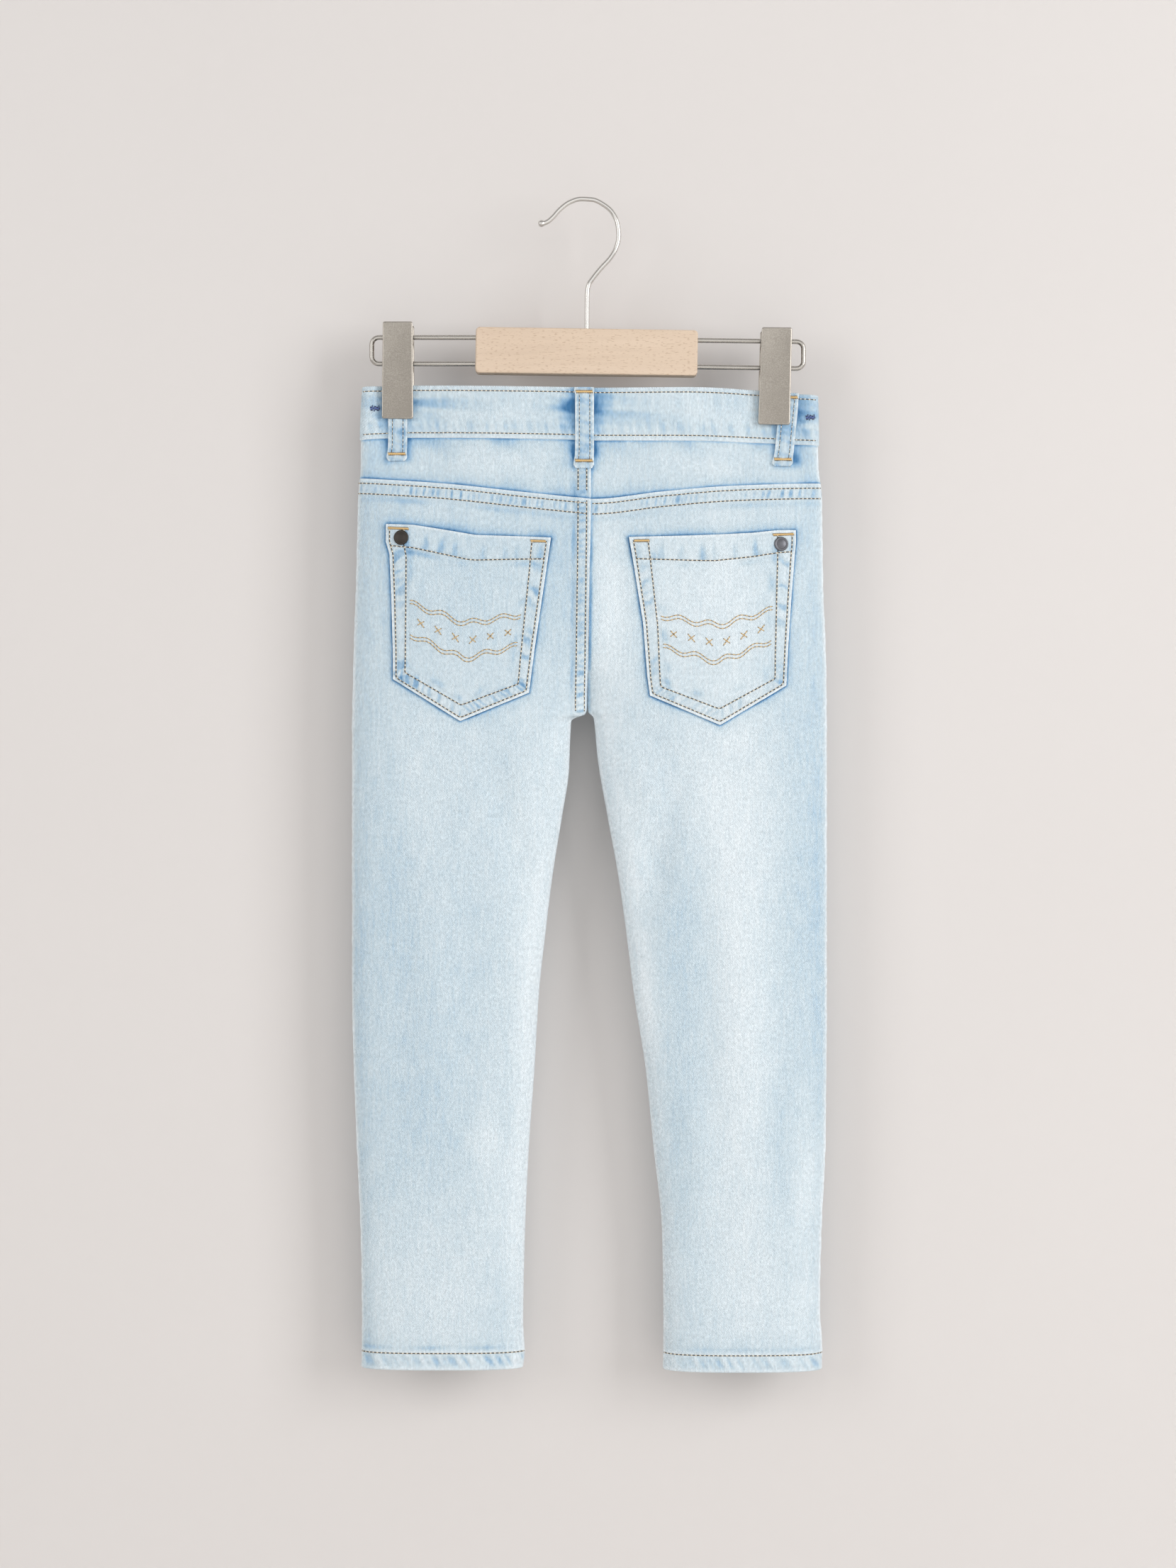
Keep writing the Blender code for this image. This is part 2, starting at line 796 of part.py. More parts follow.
POCKET_HEM = 0.15
POCKET_ROWS = (0.0, 0.13, 0.155, 0.27, 0.39, 0.51, 0.63, 0.76, 0.88, 1.0)


def add_pocket(side):
    edges = POCKETS[side]
    outside = []
    inside = []
    for t in POCKET_ROWS:
        raised = REST_GAP + CLOTH + (0.5 if t < POCKET_HEM else 0.0)
        outer = []
        inner = []
        for k in range(11):
            spot = patch(
                edges["top"], edges["point"], edges["outer"], edges["inner"], k / 10, t, True
            )
            outer.append(skin_xz(BACK, spot.x, spot.z, raised))
            inner.append(skin_xz(BACK, spot.x, spot.z, REST_GAP))
        outside.append(outer)
        inside.append(inner)
    add_cloth(f"back_pocket_{side}", outside, inside)


def add_fly():
    outside = []
    inside = []
    for j in range(8):
        outer = []
        inner = []
        for k in range(7):
            spot = patch(
                FLY["top"], FLY["bottom"], FLY["left"], FLY["right"], k / 6, j / 7, False
            )
            z = band_edge(FRONT, spot.x, "bottom") - SEAM_GAP + spot.z
            outer.append(skin_xz(FRONT, spot.x, z, REST_GAP + CLOTH))
            inner.append(skin_xz(FRONT, spot.x, z, REST_GAP))
        outside.append(outer)
        inside.append(inner)
    add_cloth("fly", outside, inside)


def add_studs():
    for rivet in RIVETS:
        side = "left" if rivet.x < 0 else "right"
        u = across(side, rivet.x, rivet.z)
        way = normal_at(side, BACK, u, rivet.z)
        rest = REST_GAP * 2 + CLOTH + 0.6
        centre = skin(side, BACK, u, rivet.z, rest)
        r = rivet.radius
        rings = ((r, 0.0), (r, RIVET_HEIGHT * 0.35), (r * 0.86, RIVET_HEIGHT * 0.8),
                 (r * 0.5, RIVET_HEIGHT), (r * 0.34, RIVET_HEIGHT * 0.75))
        add_dome(rivet.name, centre, way, rings, ANTIQUE if side == "left" else NICKEL)
    top = band_edge(FRONT, BUTTON_X, "top")
    low = band_edge(FRONT, BUTTON_X, "bottom")
    z = (top + low) / 2
    centre = skin_xz(FRONT, BUTTON_X, z, BAND_RAISE + REST_GAP)
    r = BUTTON_RADIUS
    h = BUTTON_HEIGHT
    rings = ((r * 0.45, 0.0), (r * 0.45, h * 0.35), (r * 0.97, h * 0.4), (r, h * 0.65),
             (r * 0.9, h), (r * 0.78, h * 0.86), (r * 0.3, h * 0.9))
    add_dome("button", centre, Vector((0.0, 1.0, 0.0)), rings, NICKEL)


# Hanger

def cut(body, tools):
    """Take the tools' shapes out of a body and remove them."""
    for tool in tools:
        step = body.modifiers.new("bore", "BOOLEAN")
        step.operation = "DIFFERENCE"
        step.solver = "EXACT"
        step.object = tool
    bpy.context.view_layer.update()
    graph = bpy.context.evaluated_depsgraph_get()
    mesh = bpy.data.meshes.new_from_object(body.evaluated_get(graph))
    body.modifiers.clear()
    body.data = mesh
    for tool in tools:
        bpy.data.objects.remove(tool)


def rounded(corners, radius, steps):
    """The outline of four corners with each corner rounded."""
    outline = []
    for k, corner in enumerate(corners):
        here = Vector((corner.x, corner.z))
        before = Vector((corners[k - 1].x, corners[k - 1].z))
        after = Vector((corners[(k + 1) % 4].x, corners[(k + 1) % 4].z))
        one = (before - here).normalized() * radius
        two = (after - here).normalized() * radius
        for i in range(steps + 1):
            angle = math.pi / 2 * i / steps
            outline.append(here + one * (1 - math.sin(angle)) + two * (1 - math.cos(angle)))
    return outline


def add_block(name, layers, look):
    """A solid from outlines stacked from the near face to the far one."""
    count = len(layers[0])
    points = [p for layer in layers for p in layer]
    faces = []
    for k in range(len(layers) - 1):
        for i in range(count):
            a = k * count + i
            b = k * count + (i + 1) % count
            faces.append((a, b, b + count, a + count))
    faces.append(tuple(range(count)))
    faces.append(tuple((len(layers) - 1) * count + i for i in range(count)))
    return add_mesh(name, points, faces, look)


def add_bar():
    layers = []
    centre = sum((Vector((c.x, c.z)) for c in BAR_CORNERS), Vector((0.0, 0.0))) / 4
    for y, inset in ((-BAR_HALF, BAR_BEVEL), (-BAR_HALF + BAR_BEVEL, 0.0),
                     (BAR_HALF - BAR_BEVEL, 0.0), (BAR_HALF, BAR_BEVEL)):
        layer = []
        for p in rounded(BAR_CORNERS, BAR_CORNER, 4):
            moved = p - Vector((math.copysign(inset, p.x - centre.x),
                                math.copysign(inset, p.y - centre.y)))
            layer.append(Vector((moved.x, y, moved.y)))
        layers.append(layer)
    bar = add_block("hanger_bar", layers, BEECH)
    tools = []
    for arm in ARMS:
        for z_in, z_out in ((arm.z_in_top, arm.z_out_top), (arm.z_in_low, arm.z_out_low)):
            slant = (z_out - z_in) / (arm.x_out - arm.x_in)
            out = math.copysign(1.0, arm.x_out)
            start = arm.x_in - out * (BORE_DEPTH - 11.0)
            path = []
            for x in (start, arm.x_in + out * 25.0):
                path.append(Vector((x, 0.0, z_in + slant * (x - arm.x_in))))
            tools.append(add_tube("bore", path, [BORE_RADIUS] * 2, BEECH))
    path = [Vector((HOOK[-1].x, 0.0, HOOK[-1].z - 1.5)), Vector((HOOK[-1].x, 0.0, -75.0))]
    tools.append(add_tube("bore", path, [BORE_RADIUS] * 2, BEECH))
    cut(bar, tools)


def add_hook():
    tip = Vector((HOOK[0].x, 0.0, HOOK[0].z))
    along = (Vector((HOOK[1].x, 0.0, HOOK[1].z)) - tip).normalized()
    path = [tip - along * 2.2, tip - along * 1.5, tip, tip + along * 1.6]
    radii = [0.5, 1.65, TIP_RADIUS, 1.7]
    for spot in HOOK[1:]:
        path.append(Vector((spot.x, 0.0, spot.z)))
        radii.append(WIRE_RADIUS)
    add_tube("hanger_hook", path, radii, WIRE)


def add_arm(arm):
    """A wire bent like a hairpin, both ends set in the bar."""
    out = math.copysign(1.0, arm.x_out)
    turn = ARM_CORNER
    path = [
        Vector((arm.x_in, 0.0, arm.z_in_top)),
        Vector((arm.x_out - out * turn, 0.0, arm.z_out_top)),
    ]
    for angle in (30.0, 60.0, 90.0):
        a = math.radians(angle)
        x = arm.x_out - out * turn * (1 - math.sin(a))
        path.append(Vector((x, 0.0, arm.z_out_top - turn * (1 - math.cos(a)))))
    for angle in (0.0, 30.0, 60.0, 90.0):
        a = math.radians(angle)
        x = arm.x_out - out * turn * (1 - math.cos(a))
        path.append(Vector((x, 0.0, arm.z_out_low + turn * (1 - math.sin(a)))))
    path.append(Vector((arm.x_in, 0.0, arm.z_in_low)))
    add_tube(f"hanger_wire_{arm.side}", path, [WIRE_RADIUS] * len(path), WIRE)


def add_clip(clip):
    corners = (clip.top_left, clip.top_right, clip.low_right, clip.low_left)
    outline = rounded(corners, PLATE_CORNER, 3)
    high = max(p.y for p in outline)
    low = min(p.y for p in outline)
    for word, face, lip in (("near", BACK, NEAR_LIP), ("far", FRONT, FAR_LIP)):
        layers = []
        for half in (-PLATE_WALL / 2, PLATE_WALL / 2):
            layer = []
            for p in outline:
                part = (p.y - low) / (high - low)
                y = face * (lip + (PLATE_TOP - lip) * part) + half
                layer.append(Vector((p.x, y, p.y)))
            layers.append(layer)
        add_block(f"clip_plate_{word}_{clip.side}", layers, NICKEL)
    arm = ARMS[0] if clip.side == "left" else ARMS[1]
    middle_x = sum(c.x for c in corners) / 4
    part = (middle_x - arm.x_in) / (arm.x_out - arm.x_in)
    z_top = arm.z_in_top + (arm.z_out_top - arm.z_in_top) * part
    z_low = arm.z_in_low + (arm.z_out_low - arm.z_in_low) * part
    middle_z = (z_top + z_low) / 2
    outside = []
    inside = []
    for k in range(17):
        angle = 2.0 * math.pi * (k + 0.25) / 17.5
        outer = []
        inner = []
        for place in (-0.5, 0.5):
            x = middle_x + SPRING_WIDTH * place
            y = SPRING_SHIFT + SPRING_REACH * math.cos(angle)
            z = middle_z + SPRING_HALF_HEIGHT * math.sin(angle)
            way = Vector((0.0, math.cos(angle), math.sin(angle)))
            outer.append(Vector((x, y, z)))
            inner.append(Vector((x, y, z)) - way * SPRING_WALL)
        outside.append(outer)
        inside.append(inner)
    add_cloth(f"clip_spring_{clip.side}", outside, inside, WIRE)


def main():
    for body in list(bpy.data.objects):
        bpy.data.objects.remove(body)
    for side in SIDES:
        add_leg(f"back_leg_{side}", side, BACK, back_top, (0.0, LAP_WIDTH, LAP_WIDTH + STEP), 2)
        add_leg(f"front_leg_{side}", side, FRONT, front_top, FRONT_TIED, 0)
        add_yoke(side)
        add_facing(side)
        add_pocket(side)
    add_waistband()
    for loop in LOOPS:
        add_loop(loop)
    add_fly()
    add_studs()
    add_bar()
    add_hook()
    for arm in ARMS:
        add_arm(arm)
    for clip in CLIPS:
        add_clip(clip)


main()
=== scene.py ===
"""Looks of a child's light-washed jeans on a clip hanger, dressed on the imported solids.

The frame is the CAD's: +Z up, +X to the right, the back of the jeans facing -Y.
Shapes are worked out in millimetres and turned into metres in the mesh makers.
"""
import math

import bmesh
import bpy
import numpy as np
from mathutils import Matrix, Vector


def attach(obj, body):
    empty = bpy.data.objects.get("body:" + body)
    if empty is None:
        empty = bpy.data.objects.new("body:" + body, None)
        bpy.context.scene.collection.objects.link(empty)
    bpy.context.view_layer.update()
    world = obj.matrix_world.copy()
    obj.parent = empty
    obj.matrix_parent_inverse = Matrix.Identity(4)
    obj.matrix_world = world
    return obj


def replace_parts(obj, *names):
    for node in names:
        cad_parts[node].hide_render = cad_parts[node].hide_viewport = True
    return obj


MM = 0.001
BACK = -1
FRONT = 1
OUT = {"left": -1.0, "right": 1.0}

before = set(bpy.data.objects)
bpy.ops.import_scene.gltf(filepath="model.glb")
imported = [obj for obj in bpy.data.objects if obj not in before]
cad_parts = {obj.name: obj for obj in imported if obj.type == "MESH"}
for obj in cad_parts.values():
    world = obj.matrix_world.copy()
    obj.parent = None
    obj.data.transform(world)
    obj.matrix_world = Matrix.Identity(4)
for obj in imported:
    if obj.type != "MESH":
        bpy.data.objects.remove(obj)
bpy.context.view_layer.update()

# Cloth and seam sizes
CLOTH = 1.2
HEM_WALL = 2.2
HEM_DROP = 0.9
HEM_HEIGHT = 11.0
BAND_WALL = 2.4
BAND_RAISE = 0.6
LAP_RAISE = 0.75
LAP_WIDTH = 10.4
POCKET_RAISE = 1.45
STITCH_PITCH = 2.8
STITCH_LENGTH = 2.7
LINE_STEP = 0.8
THREAD = 0.40

# How the two faces of the garment part from each other
TRUNK_ROUND = 4.5
LEG_ROUND = 3.0
CROTCH_Z = -333.0
CROTCH_FADE = 60.0
CROTCH_SPREAD = (-24.0, -12.0, 0.0, 12.0, 24.0)
WAIST_LOW = -200.0
WAIST_HIGH = -142.0
WAIST_EDGE = 0.03


# Readings

def smooth(low, high, value):
    """A soft step from 0 at low to 1 at high."""
    part = np.clip((np.asarray(value, float) - low) / (high - low), 0.0, 1.0)
    return part * part * (3.0 - 2.0 * part)


def bump(middle, reach, value):
    """A soft hump, 1 at the middle and 0 at the reach."""
    off = (np.asarray(value, float) - middle) / reach
    return np.clip(1.0 - off * off, 0.0, 1.0) ** 2


def bell(off, reach):
    """A soft hump that never quite ends, 1 where off is 0."""
    return np.exp(-((off / reach) ** 2))


class Reading:
    """Columns of a table, read smoothly between its rows."""

    def __init__(self, names, rows):
        table = np.array(sorted(rows), float)
        self.keys = table[:, 0]
        self.columns = {}
        for k, name in enumerate(names.split()):
            self.columns[name] = (table[:, k + 1], self.slopes(table[:, k + 1]))

    def slopes(self, values):
        steps = np.diff(values) / np.diff(self.keys)
        inner = np.zeros(len(values))
        inner[0] = steps[0]
        inner[-1] = steps[-1]
        before = steps[:-1]
        after = steps[1:]
        same = before * after > 0.0
        total = np.where(same, before + after, 1.0)
        inner[1:-1] = np.where(same, 2.0 * before * after / total, 0.0)
        return inner

    def __call__(self, name, where):
        values, slopes = self.columns[name]
        where = np.clip(np.asarray(where, float), self.keys[0], self.keys[-1])
        index = np.clip(np.searchsorted(self.keys, where) - 1, 0, len(self.keys) - 2)
        width = self.keys[index + 1] - self.keys[index]
        part = (where - self.keys[index]) / width
        square = part * part
        cube = square * part
        return (
            (2 * cube - 3 * square + 1) * values[index]
            + (cube - 2 * square + part) * slopes[index] * width
            + (3 * square - 2 * cube) * values[index + 1]
            + (cube - square) * slopes[index + 1] * width
        )


# Height, outer edge and inner edge of each side
OUTLINE = {
    "left": Reading("outer inner", (
        (-119.0, -142.2, 3.4), (-153.4, -143.7, 3.9), (-171.6, -143.8, 4.2),
        (-189.0, -145.2, 4.2), (-241.5, -146.6, 3.7), (-288.1, -148.1, 3.1),
        (-312.0, -148.7, 2.5), (-326.5, -149.0, 2.3), (-330.4, -149.1, 0.9),
        (-332.6, -149.2, -5.0), (-334.8, -149.2, -8.0), (-346.0, -149.2, -8.7),
        (-367.5, -149.2, -9.6), (-394.0, -149.2, -13.6), (-432.8, -149.2, -19.9),
        (-473.4, -149.2, -24.9), (-509.5, -149.1, -28.8), (-558.3, -148.0, -31.7),
        (-615.4, -145.7, -35.7), (-672.4, -143.3, -38.1), (-721.3, -142.8, -39.0),
        (-740.9, -142.9, -38.0), (-749.6, -143.1, -38.9),
    )),
    "right": Reading("outer inner", (
        (-119.0, 150.4, 3.4), (-153.4, 151.0, 3.9), (-171.6, 151.4, 4.2),
        (-189.0, 153.3, 4.2), (-253.4, 154.4, 3.6), (-288.1, 155.8, 3.1),
        (-312.0, 156.3, 2.5), (-325.0, 156.4, 2.3), (-329.0, 156.5, 2.9),
        (-332.4, 156.5, 6.2), (-337.4, 156.5, 7.0), (-357.4, 156.5, 8.8),
        (-398.1, 156.5, 15.7), (-432.8, 156.5, 22.0), (-469.3, 156.5, 27.2),
        (-509.5, 156.5, 32.2), (-558.3, 156.2, 39.8), (-607.1, 155.6, 44.7),
        (-664.2, 152.9, 50.4), (-713.1, 152.0, 51.2), (-737.7, 153.6, 51.2),
        (-750.6, 153.2, 50.9),
    )),
}
HEM_Z = {"left": -749.6, "right": -750.6}

# Height, and how far each side's faces stand from the middle plane
DEPTH = Reading("left right", (
    (-150.0, 9.0, 9.5), (-190.0, 12.0, 12.5), (-240.0, 14.0, 15.0), (-290.0, 14.5, 16.0),
    (-333.0, 14.0, 15.5), (-390.0, 13.0, 14.5), (-460.0, 12.5, 14.5), (-520.0, 12.0, 14.0),
    (-600.0, 11.5, 13.5), (-680.0, 12.0, 14.0), (-751.0, 13.5, 16.0),
))

# The same at the waist, from the side fold (0) to the centre (1)
WAIST = Reading("depth", (
    (0.0, 4.2), (0.05, 4.2), (0.09, 2.6), (0.27, 2.6), (0.42, 5.2), (0.62, 7.4),
    (0.82, 7.2), (1.0, 6.6),
))

# Place across, and the heights of the waistband's edges on the back
BAND = Reading("top bottom", (
    (-144.0, -119.8, -153.9), (-125.0, -119.3, -152.7), (-108.0, -118.9, -152.4),
    (-56.0, -119.7, -153.1), (-8.0, -120.4, -154.0), (6.6, -120.8, -154.5),
    (71.6, -120.4, -154.7), (112.0, -122.1, -155.8), (134.7, -124.3, -156.8),
    (152.0, -125.4, -157.6),
))
FRONT_DIP = 14.0
FRONT_DIP_REACH = 105.0

# Place across and height of the yoke seam
YOKE_SEAM = Reading("z", (
    (-146.0, -179.0), (-88.8, -183.2), (-41.1, -188.4), (-4.7, -192.2), (6.1, -193.2),
    (50.5, -188.4), (92.1, -184.8), (154.0, -182.4),
))

# Side, face, place across, lean, top, bottom, reach and height of each large fold
FOLDS = (
    ("right", BACK, 100.0, -0.02, -390.0, -690.0, 26.0, 2.6),
    ("left", BACK, -92.0, 0.03, -400.0, -640.0, 24.0, 1.6),
    ("left", BACK, -62.0, -0.25, -345.0, -470.0, 16.0, -2.0),
    ("right", BACK, 62.0, 0.22, -350.0, -500.0, 18.0, -2.2),
    ("right", FRONT, 96.0, 0.02, -380.0, -700.0, 26.0, 2.4),
    ("left", FRONT, -96.0, -0.02, -370.0, -670.0, 26.0, 2.2),
    ("left", FRONT, -60.0, -0.2, -330.0, -450.0, 18.0, -2.4),
    ("right", FRONT, 66.0, 0.24, -335.0, -480.0, 18.0, -2.2),
)

# Smaller creases: face, start x and z, end x and z, reach and height
CREASES = (
    (BACK, -30.0, -338.0, -62.0, -352.0, 6.0, -0.9),
    (BACK, -24.0, -352.0, -52.0, -378.0, 7.0, 0.8),
    (BACK, -18.0, -372.0, -44.0, -420.0, 8.0, -0.9),
    (BACK, 22.0, -340.0, 58.0, -356.0, 6.0, -1.0),
    (BACK, 20.0, -358.0, 50.0, -392.0, 8.0, 1.0),
    (BACK, 30.0, -396.0, 52.0, -452.0, 9.0, -1.1),
    (BACK, -36.0, -470.0, -58.0, -560.0, 12.0, 1.2),
    (BACK, -44.0, -590.0, -74.0, -640.0, 9.0, -0.8),
    (BACK, -48.0, -628.0, -96.0, -676.0, 9.0, 0.7),
    (BACK, 60.0, -560.0, 76.0, -660.0, 10.0, 1.2),
    (BACK, 66.0, -676.0, 108.0, -700.0, 9.0, -0.7),
    (BACK, 118.0, -660.0, 146.0, -690.0, 8.0, 0.7),
    (BACK, -110.0, -430.0, -142.0, -452.0, 8.0, -0.5),
    (BACK, 128.0, -470.0, 152.0, -490.0, 8.0, -0.5),
    (BACK, -16.0, -226.0, -12.0, -300.0, 5.0, -0.5),
    (BACK, 12.0, -214.0, 20.0, -300.0, 7.0, -0.6),
    (BACK, -96.0, -160.0, -88.0, -176.0, 5.0, -0.5),
    (BACK, 92.0, -162.0, 100.0, -178.0, 6.0, -0.5),
    (FRONT, -28.0, -300.0, -64.0, -286.0, 7.0, -1.1),
    (FRONT, -24.0, -318.0, -70.0, -316.0, 7.0, 0.9),
    (FRONT, 28.0, -302.0, 70.0, -284.0, 7.0, -1.2),
    (FRONT, 26.0, -320.0, 66.0, -322.0, 7.0, 0.9),
    (FRONT, -20.0, -352.0, -58.0, -392.0, 8.0, -0.9),
    (FRONT, 24.0, -350.0, 60.0, -388.0, 8.0, -0.9),
    (FRONT, -60.0, -520.0, -130.0, -540.0, 12.0, -0.9),
    (FRONT, 60.0, -512.0, 140.0, -538.0, 12.0, -1.0),
    (FRONT, -50.0, -600.0, -84.0, -660.0, 10.0, 0.9),
    (FRONT, 66.0, -590.0, 110.0, -650.0, 10.0, 0.9),
)

# Pocket edges, each from its first corner to its last, as (x, z)
POCKETS = {
    "left": {
        "top": ((-126.1, -209.1), (-109.0, -209.8), (-86.0, -213.6), (-68.8, -216.5),
                (-39.9, -217.4), (-21.4, -218.1)),
        "outer": ((-126.1, -209.1), (-126.2, -219.9), (-123.9, -228.0), (-122.8, -254.7),
                  (-121.7, -289.0), (-121.6, -308.0)),
        "inner": ((-21.4, -218.1), (-25.0, -242.9), (-31.8, -289.0), (-35.4, -316.6)),
        "point": ((-121.6, -308.0), (-79.0, -334.6), (-35.4, -316.6)),
    },
    "right": {
        "top": ((135.1, -213.1), (123.9, -213.3), (107.7, -215.1), (90.5, -216.0),
                (67.5, -216.9), (29.3, -217.8)),
        "outer": ((135.1, -213.1), (135.2, -220.0), (132.5, -254.8), (130.2, -289.1),
                  (129.1, -312.1)),
        "inner": ((29.3, -217.8), (31.8, -231.8), (38.2, -271.9), (41.0, -306.2),
                  (42.7, -318.4)),
        "point": ((129.1, -312.1), (87.1, -337.2), (42.7, -318.4)),
    },
}

# Name, face, x at the top, x at the bottom and length of each belt loop
LOOPS = (
    ("belt_loop_back_left", BACK, -119.4, -119.6, 48.0),
    ("belt_loop_back_centre", BACK, 0.5, 0.5, 51.5),
    ("belt_loop_back_right", BACK, 132.4, 127.8, 46.5),
    ("belt_loop_front_left", FRONT, -72.0, -73.5, 47.0),
    ("belt_loop_front_right", FRONT, 77.0, 79.0, 47.0),
)
LOOP_WIDTH = 12.3
LOOP_WALL = 1.6
LOOP_ROW = 3.1

# The front pocket openings, the lap of the waistband's ends and the fly
SCOOP_ACROSS = 0.42
SCOOP_DROP = 58.0
UNDERLAP_X = -20.0
OVERLAP_X = 13.0
FLY = {
    "top": ((-31.0, 0.0), (2.0, 0.0)),
    "left": ((-31.0, 0.0), (-30.5, -34.0), (-26.0, -52.0)),
    "right": ((2.0, 0.0), (2.0, -40.0), (1.4, -66.0)),
    "bottom": ((-26.0, -52.0), (-15.0, -62.0), (1.4, -66.0)),
}


# The hung garment's form

def across(side, x, z):
    """Where x lies between the side fold (0) and the inner edge (1)."""
    outer = OUTLINE[side]("outer", z)
    inner = OUTLINE[side]("inner", z)
    return np.clip((x - outer) / (inner - outer), 0.0, 1.0)


def x_across(side, u, z):
    """The x of a place that lies a part u of the way from the side fold to the inner edge."""
    outer = OUTLINE[side]("outer", z)
    inner = OUTLINE[side]("inner", z)
    return outer + u * (inner - outer)


def centre_seam(z, above):
    """The x of the centre seam, held straight from a little above the crotch."""
    return OUTLINE["right"]("inner", np.maximum(z, CROTCH_Z + above))


def crease_relief(face, x, z):
    """Small creases between two places, soft at their ends."""
    total = np.zeros(np.shape(x))
    for crease_face, x0, z0, x1, z1, reach, height in CREASES:
        if crease_face == face:
            length = math.hypot(x1 - x0, z1 - z0)
            along = ((x - x0) * (x1 - x0) + (z - z0) * (z1 - z0)) / length
            off = ((x - x0) * (z1 - z0) - (z - z0) * (x1 - x0)) / length
            bend = off + 0.08 * length * np.sin(np.pi * along / length) ** 2
            total += height * bump(length / 2, length / 2 + reach, along) * bell(bend, reach)
    return total


def form(side, face, x, z):
    """How far the cloth stands from the middle plane, folds and creases with it."""
    u = across(side, x, z)
    join = smooth(CROTCH_Z, CROTCH_Z + CROTCH_FADE, z)
    trunk = np.sqrt(np.clip(1.0 - (1.0 - u) ** TRUNK_ROUND, 0.0, 1.0))
    # away from the inner edge the crotch's sudden step is spread over some height
    spread = sum(across(side, x, z + step) for step in CROTCH_SPREAD) / len(CROTCH_SPREAD)
    leg_u = u + (spread - u) * smooth(0.0, 0.15, 1.0 - u)
    tube = np.sqrt(np.clip(1.0 - np.abs(2.0 * leg_u - 1.0) ** LEG_ROUND, 0.0, 1.0))
    around = join * trunk + (1.0 - join) * tube
    turn = 1.0 - np.clip(u / WAIST_EDGE, 0.0, 1.0)
    waist = WAIST("depth", u) * np.sqrt(1.0 - turn * turn)
    grip = smooth(WAIST_LOW, WAIST_HIGH, z)
    total = grip * waist + (1.0 - grip) * DEPTH(side, z) * around
    for fold_side, fold_face, middle, lean, top, bottom, reach, height in FOLDS:
        if fold_side == side and fold_face == face:
            off = bump(0.0, reach, x - middle - lean * (z - top))
            span = np.clip((z - bottom) / (top - bottom), 0.0, 1.0)
            total = total + height * off * np.sin(np.pi * span) * around
    free = smooth(0.0, 0.06, u) * np.maximum(smooth(0.0, 0.06, 1.0 - u), join)
    return total + crease_relief(face, x, z) * free


def place(side, face, x, z):
    """Points on the bare cloth and the way out of it there."""
    x = np.asarray(x, float)
    z = np.asarray(z, float)
    reach = 0.4
    y = form(side, face, x, z)
    slope_x = (form(side, face, x + reach, z) - form(side, face, x - reach, z)) / (2 * reach)
    slope_z = (form(side, face, x, z + reach) - form(side, face, x, z - reach)) / (2 * reach)
    points = np.stack([x, face * y, z], -1)
    out = np.stack([-slope_x, np.full(x.shape, float(face)), -slope_z], -1)
    return points, out / np.linalg.norm(out, axis=-1, keepdims=True)


def side_of(x, z):
    """Which side of the centre seam a place lies on."""
    return np.where(np.asarray(x) > centre_seam(z, 8.0), "right", "left")


def place_xz(face, x, z):
    """The same as place, for places on both sides of the centre seam."""
    x, z = np.broadcast_arrays(np.asarray(x, float), np.asarray(z, float))
    sides = side_of(x, z)
    left = place("left", face, x, z)
    right = place("right", face, x, z)
    pick = (sides == "left")[..., None]
    return np.where(pick, left[0], right[0]), np.where(pick, left[1], right[1])


def band_edge(face, x, name):
    """Top or bottom of the waistband at x on one face."""
    dip = 0.0
    if face == FRONT:
        dip = FRONT_DIP * (1.0 - smooth(0.0, FRONT_DIP_REACH, np.abs(np.asarray(x) - 4.0)))
    return BAND(name, x) - dip


def ripple(seed, pitch, along):
    """Uneven humps along a seam, between -1 and 1."""
    rng = np.random.default_rng(seed)
    low = float(np.min(along)) - 4 * pitch
    high = float(np.max(along)) + 4 * pitch
    knots = np.arange(-900.0, 900.0, pitch)
    places = knots + rng.uniform(-0.28, 0.28, len(knots)) * pitch
    heights = rng.uniform(0.35, 1.0, len(knots))
    keep = (places > low) & (places < high)
    total = np.zeros(np.shape(along))
    for middle, height in zip(places[keep], heights[keep]):
        total += height * bell(along - middle, 0.36 * pitch)
    return 2.0 * total - 0.75


def wedges(seed, pitch, along, width):
    """Narrow marks across a seam, uneven in place and strength, as wide as told."""
    rng = np.random.default_rng(seed)
    spots = np.arange(-2.0 * pitch, 16.0 * pitch, pitch)
    spots = spots + rng.uniform(-0.3, 0.3, len(spots)) * pitch
    strengths = rng.uniform(0.35, 1.15, len(spots))
    total = np.zeros(np.shape(along))
    for spot, strength in zip(spots, strengths):
        total += strength * bell(along - spot, width)
    return total


def blue_of(waves):
    """How blue the dips between humps are, from 0 to 1."""
    return smooth(0.3, -0.5, waves)


def pale_of(waves):
    """How worn the tops of humps are, from 0 to 1."""
    return smooth(0.25, 1.0, waves)


def drift(seed, scale, *where):
    """Slow, smooth variation between about -1 and 1."""
    rng = np.random.default_rng(seed)
    total = np.zeros(np.shape(where[0]))
    for _ in range(6):
        phase = rng.uniform(0.0, 2.0 * np.pi)
        turn = sum(rng.normal() * np.asarray(part) for part in where)
        total += np.sin(turn / scale + phase)
    return total / 3.0


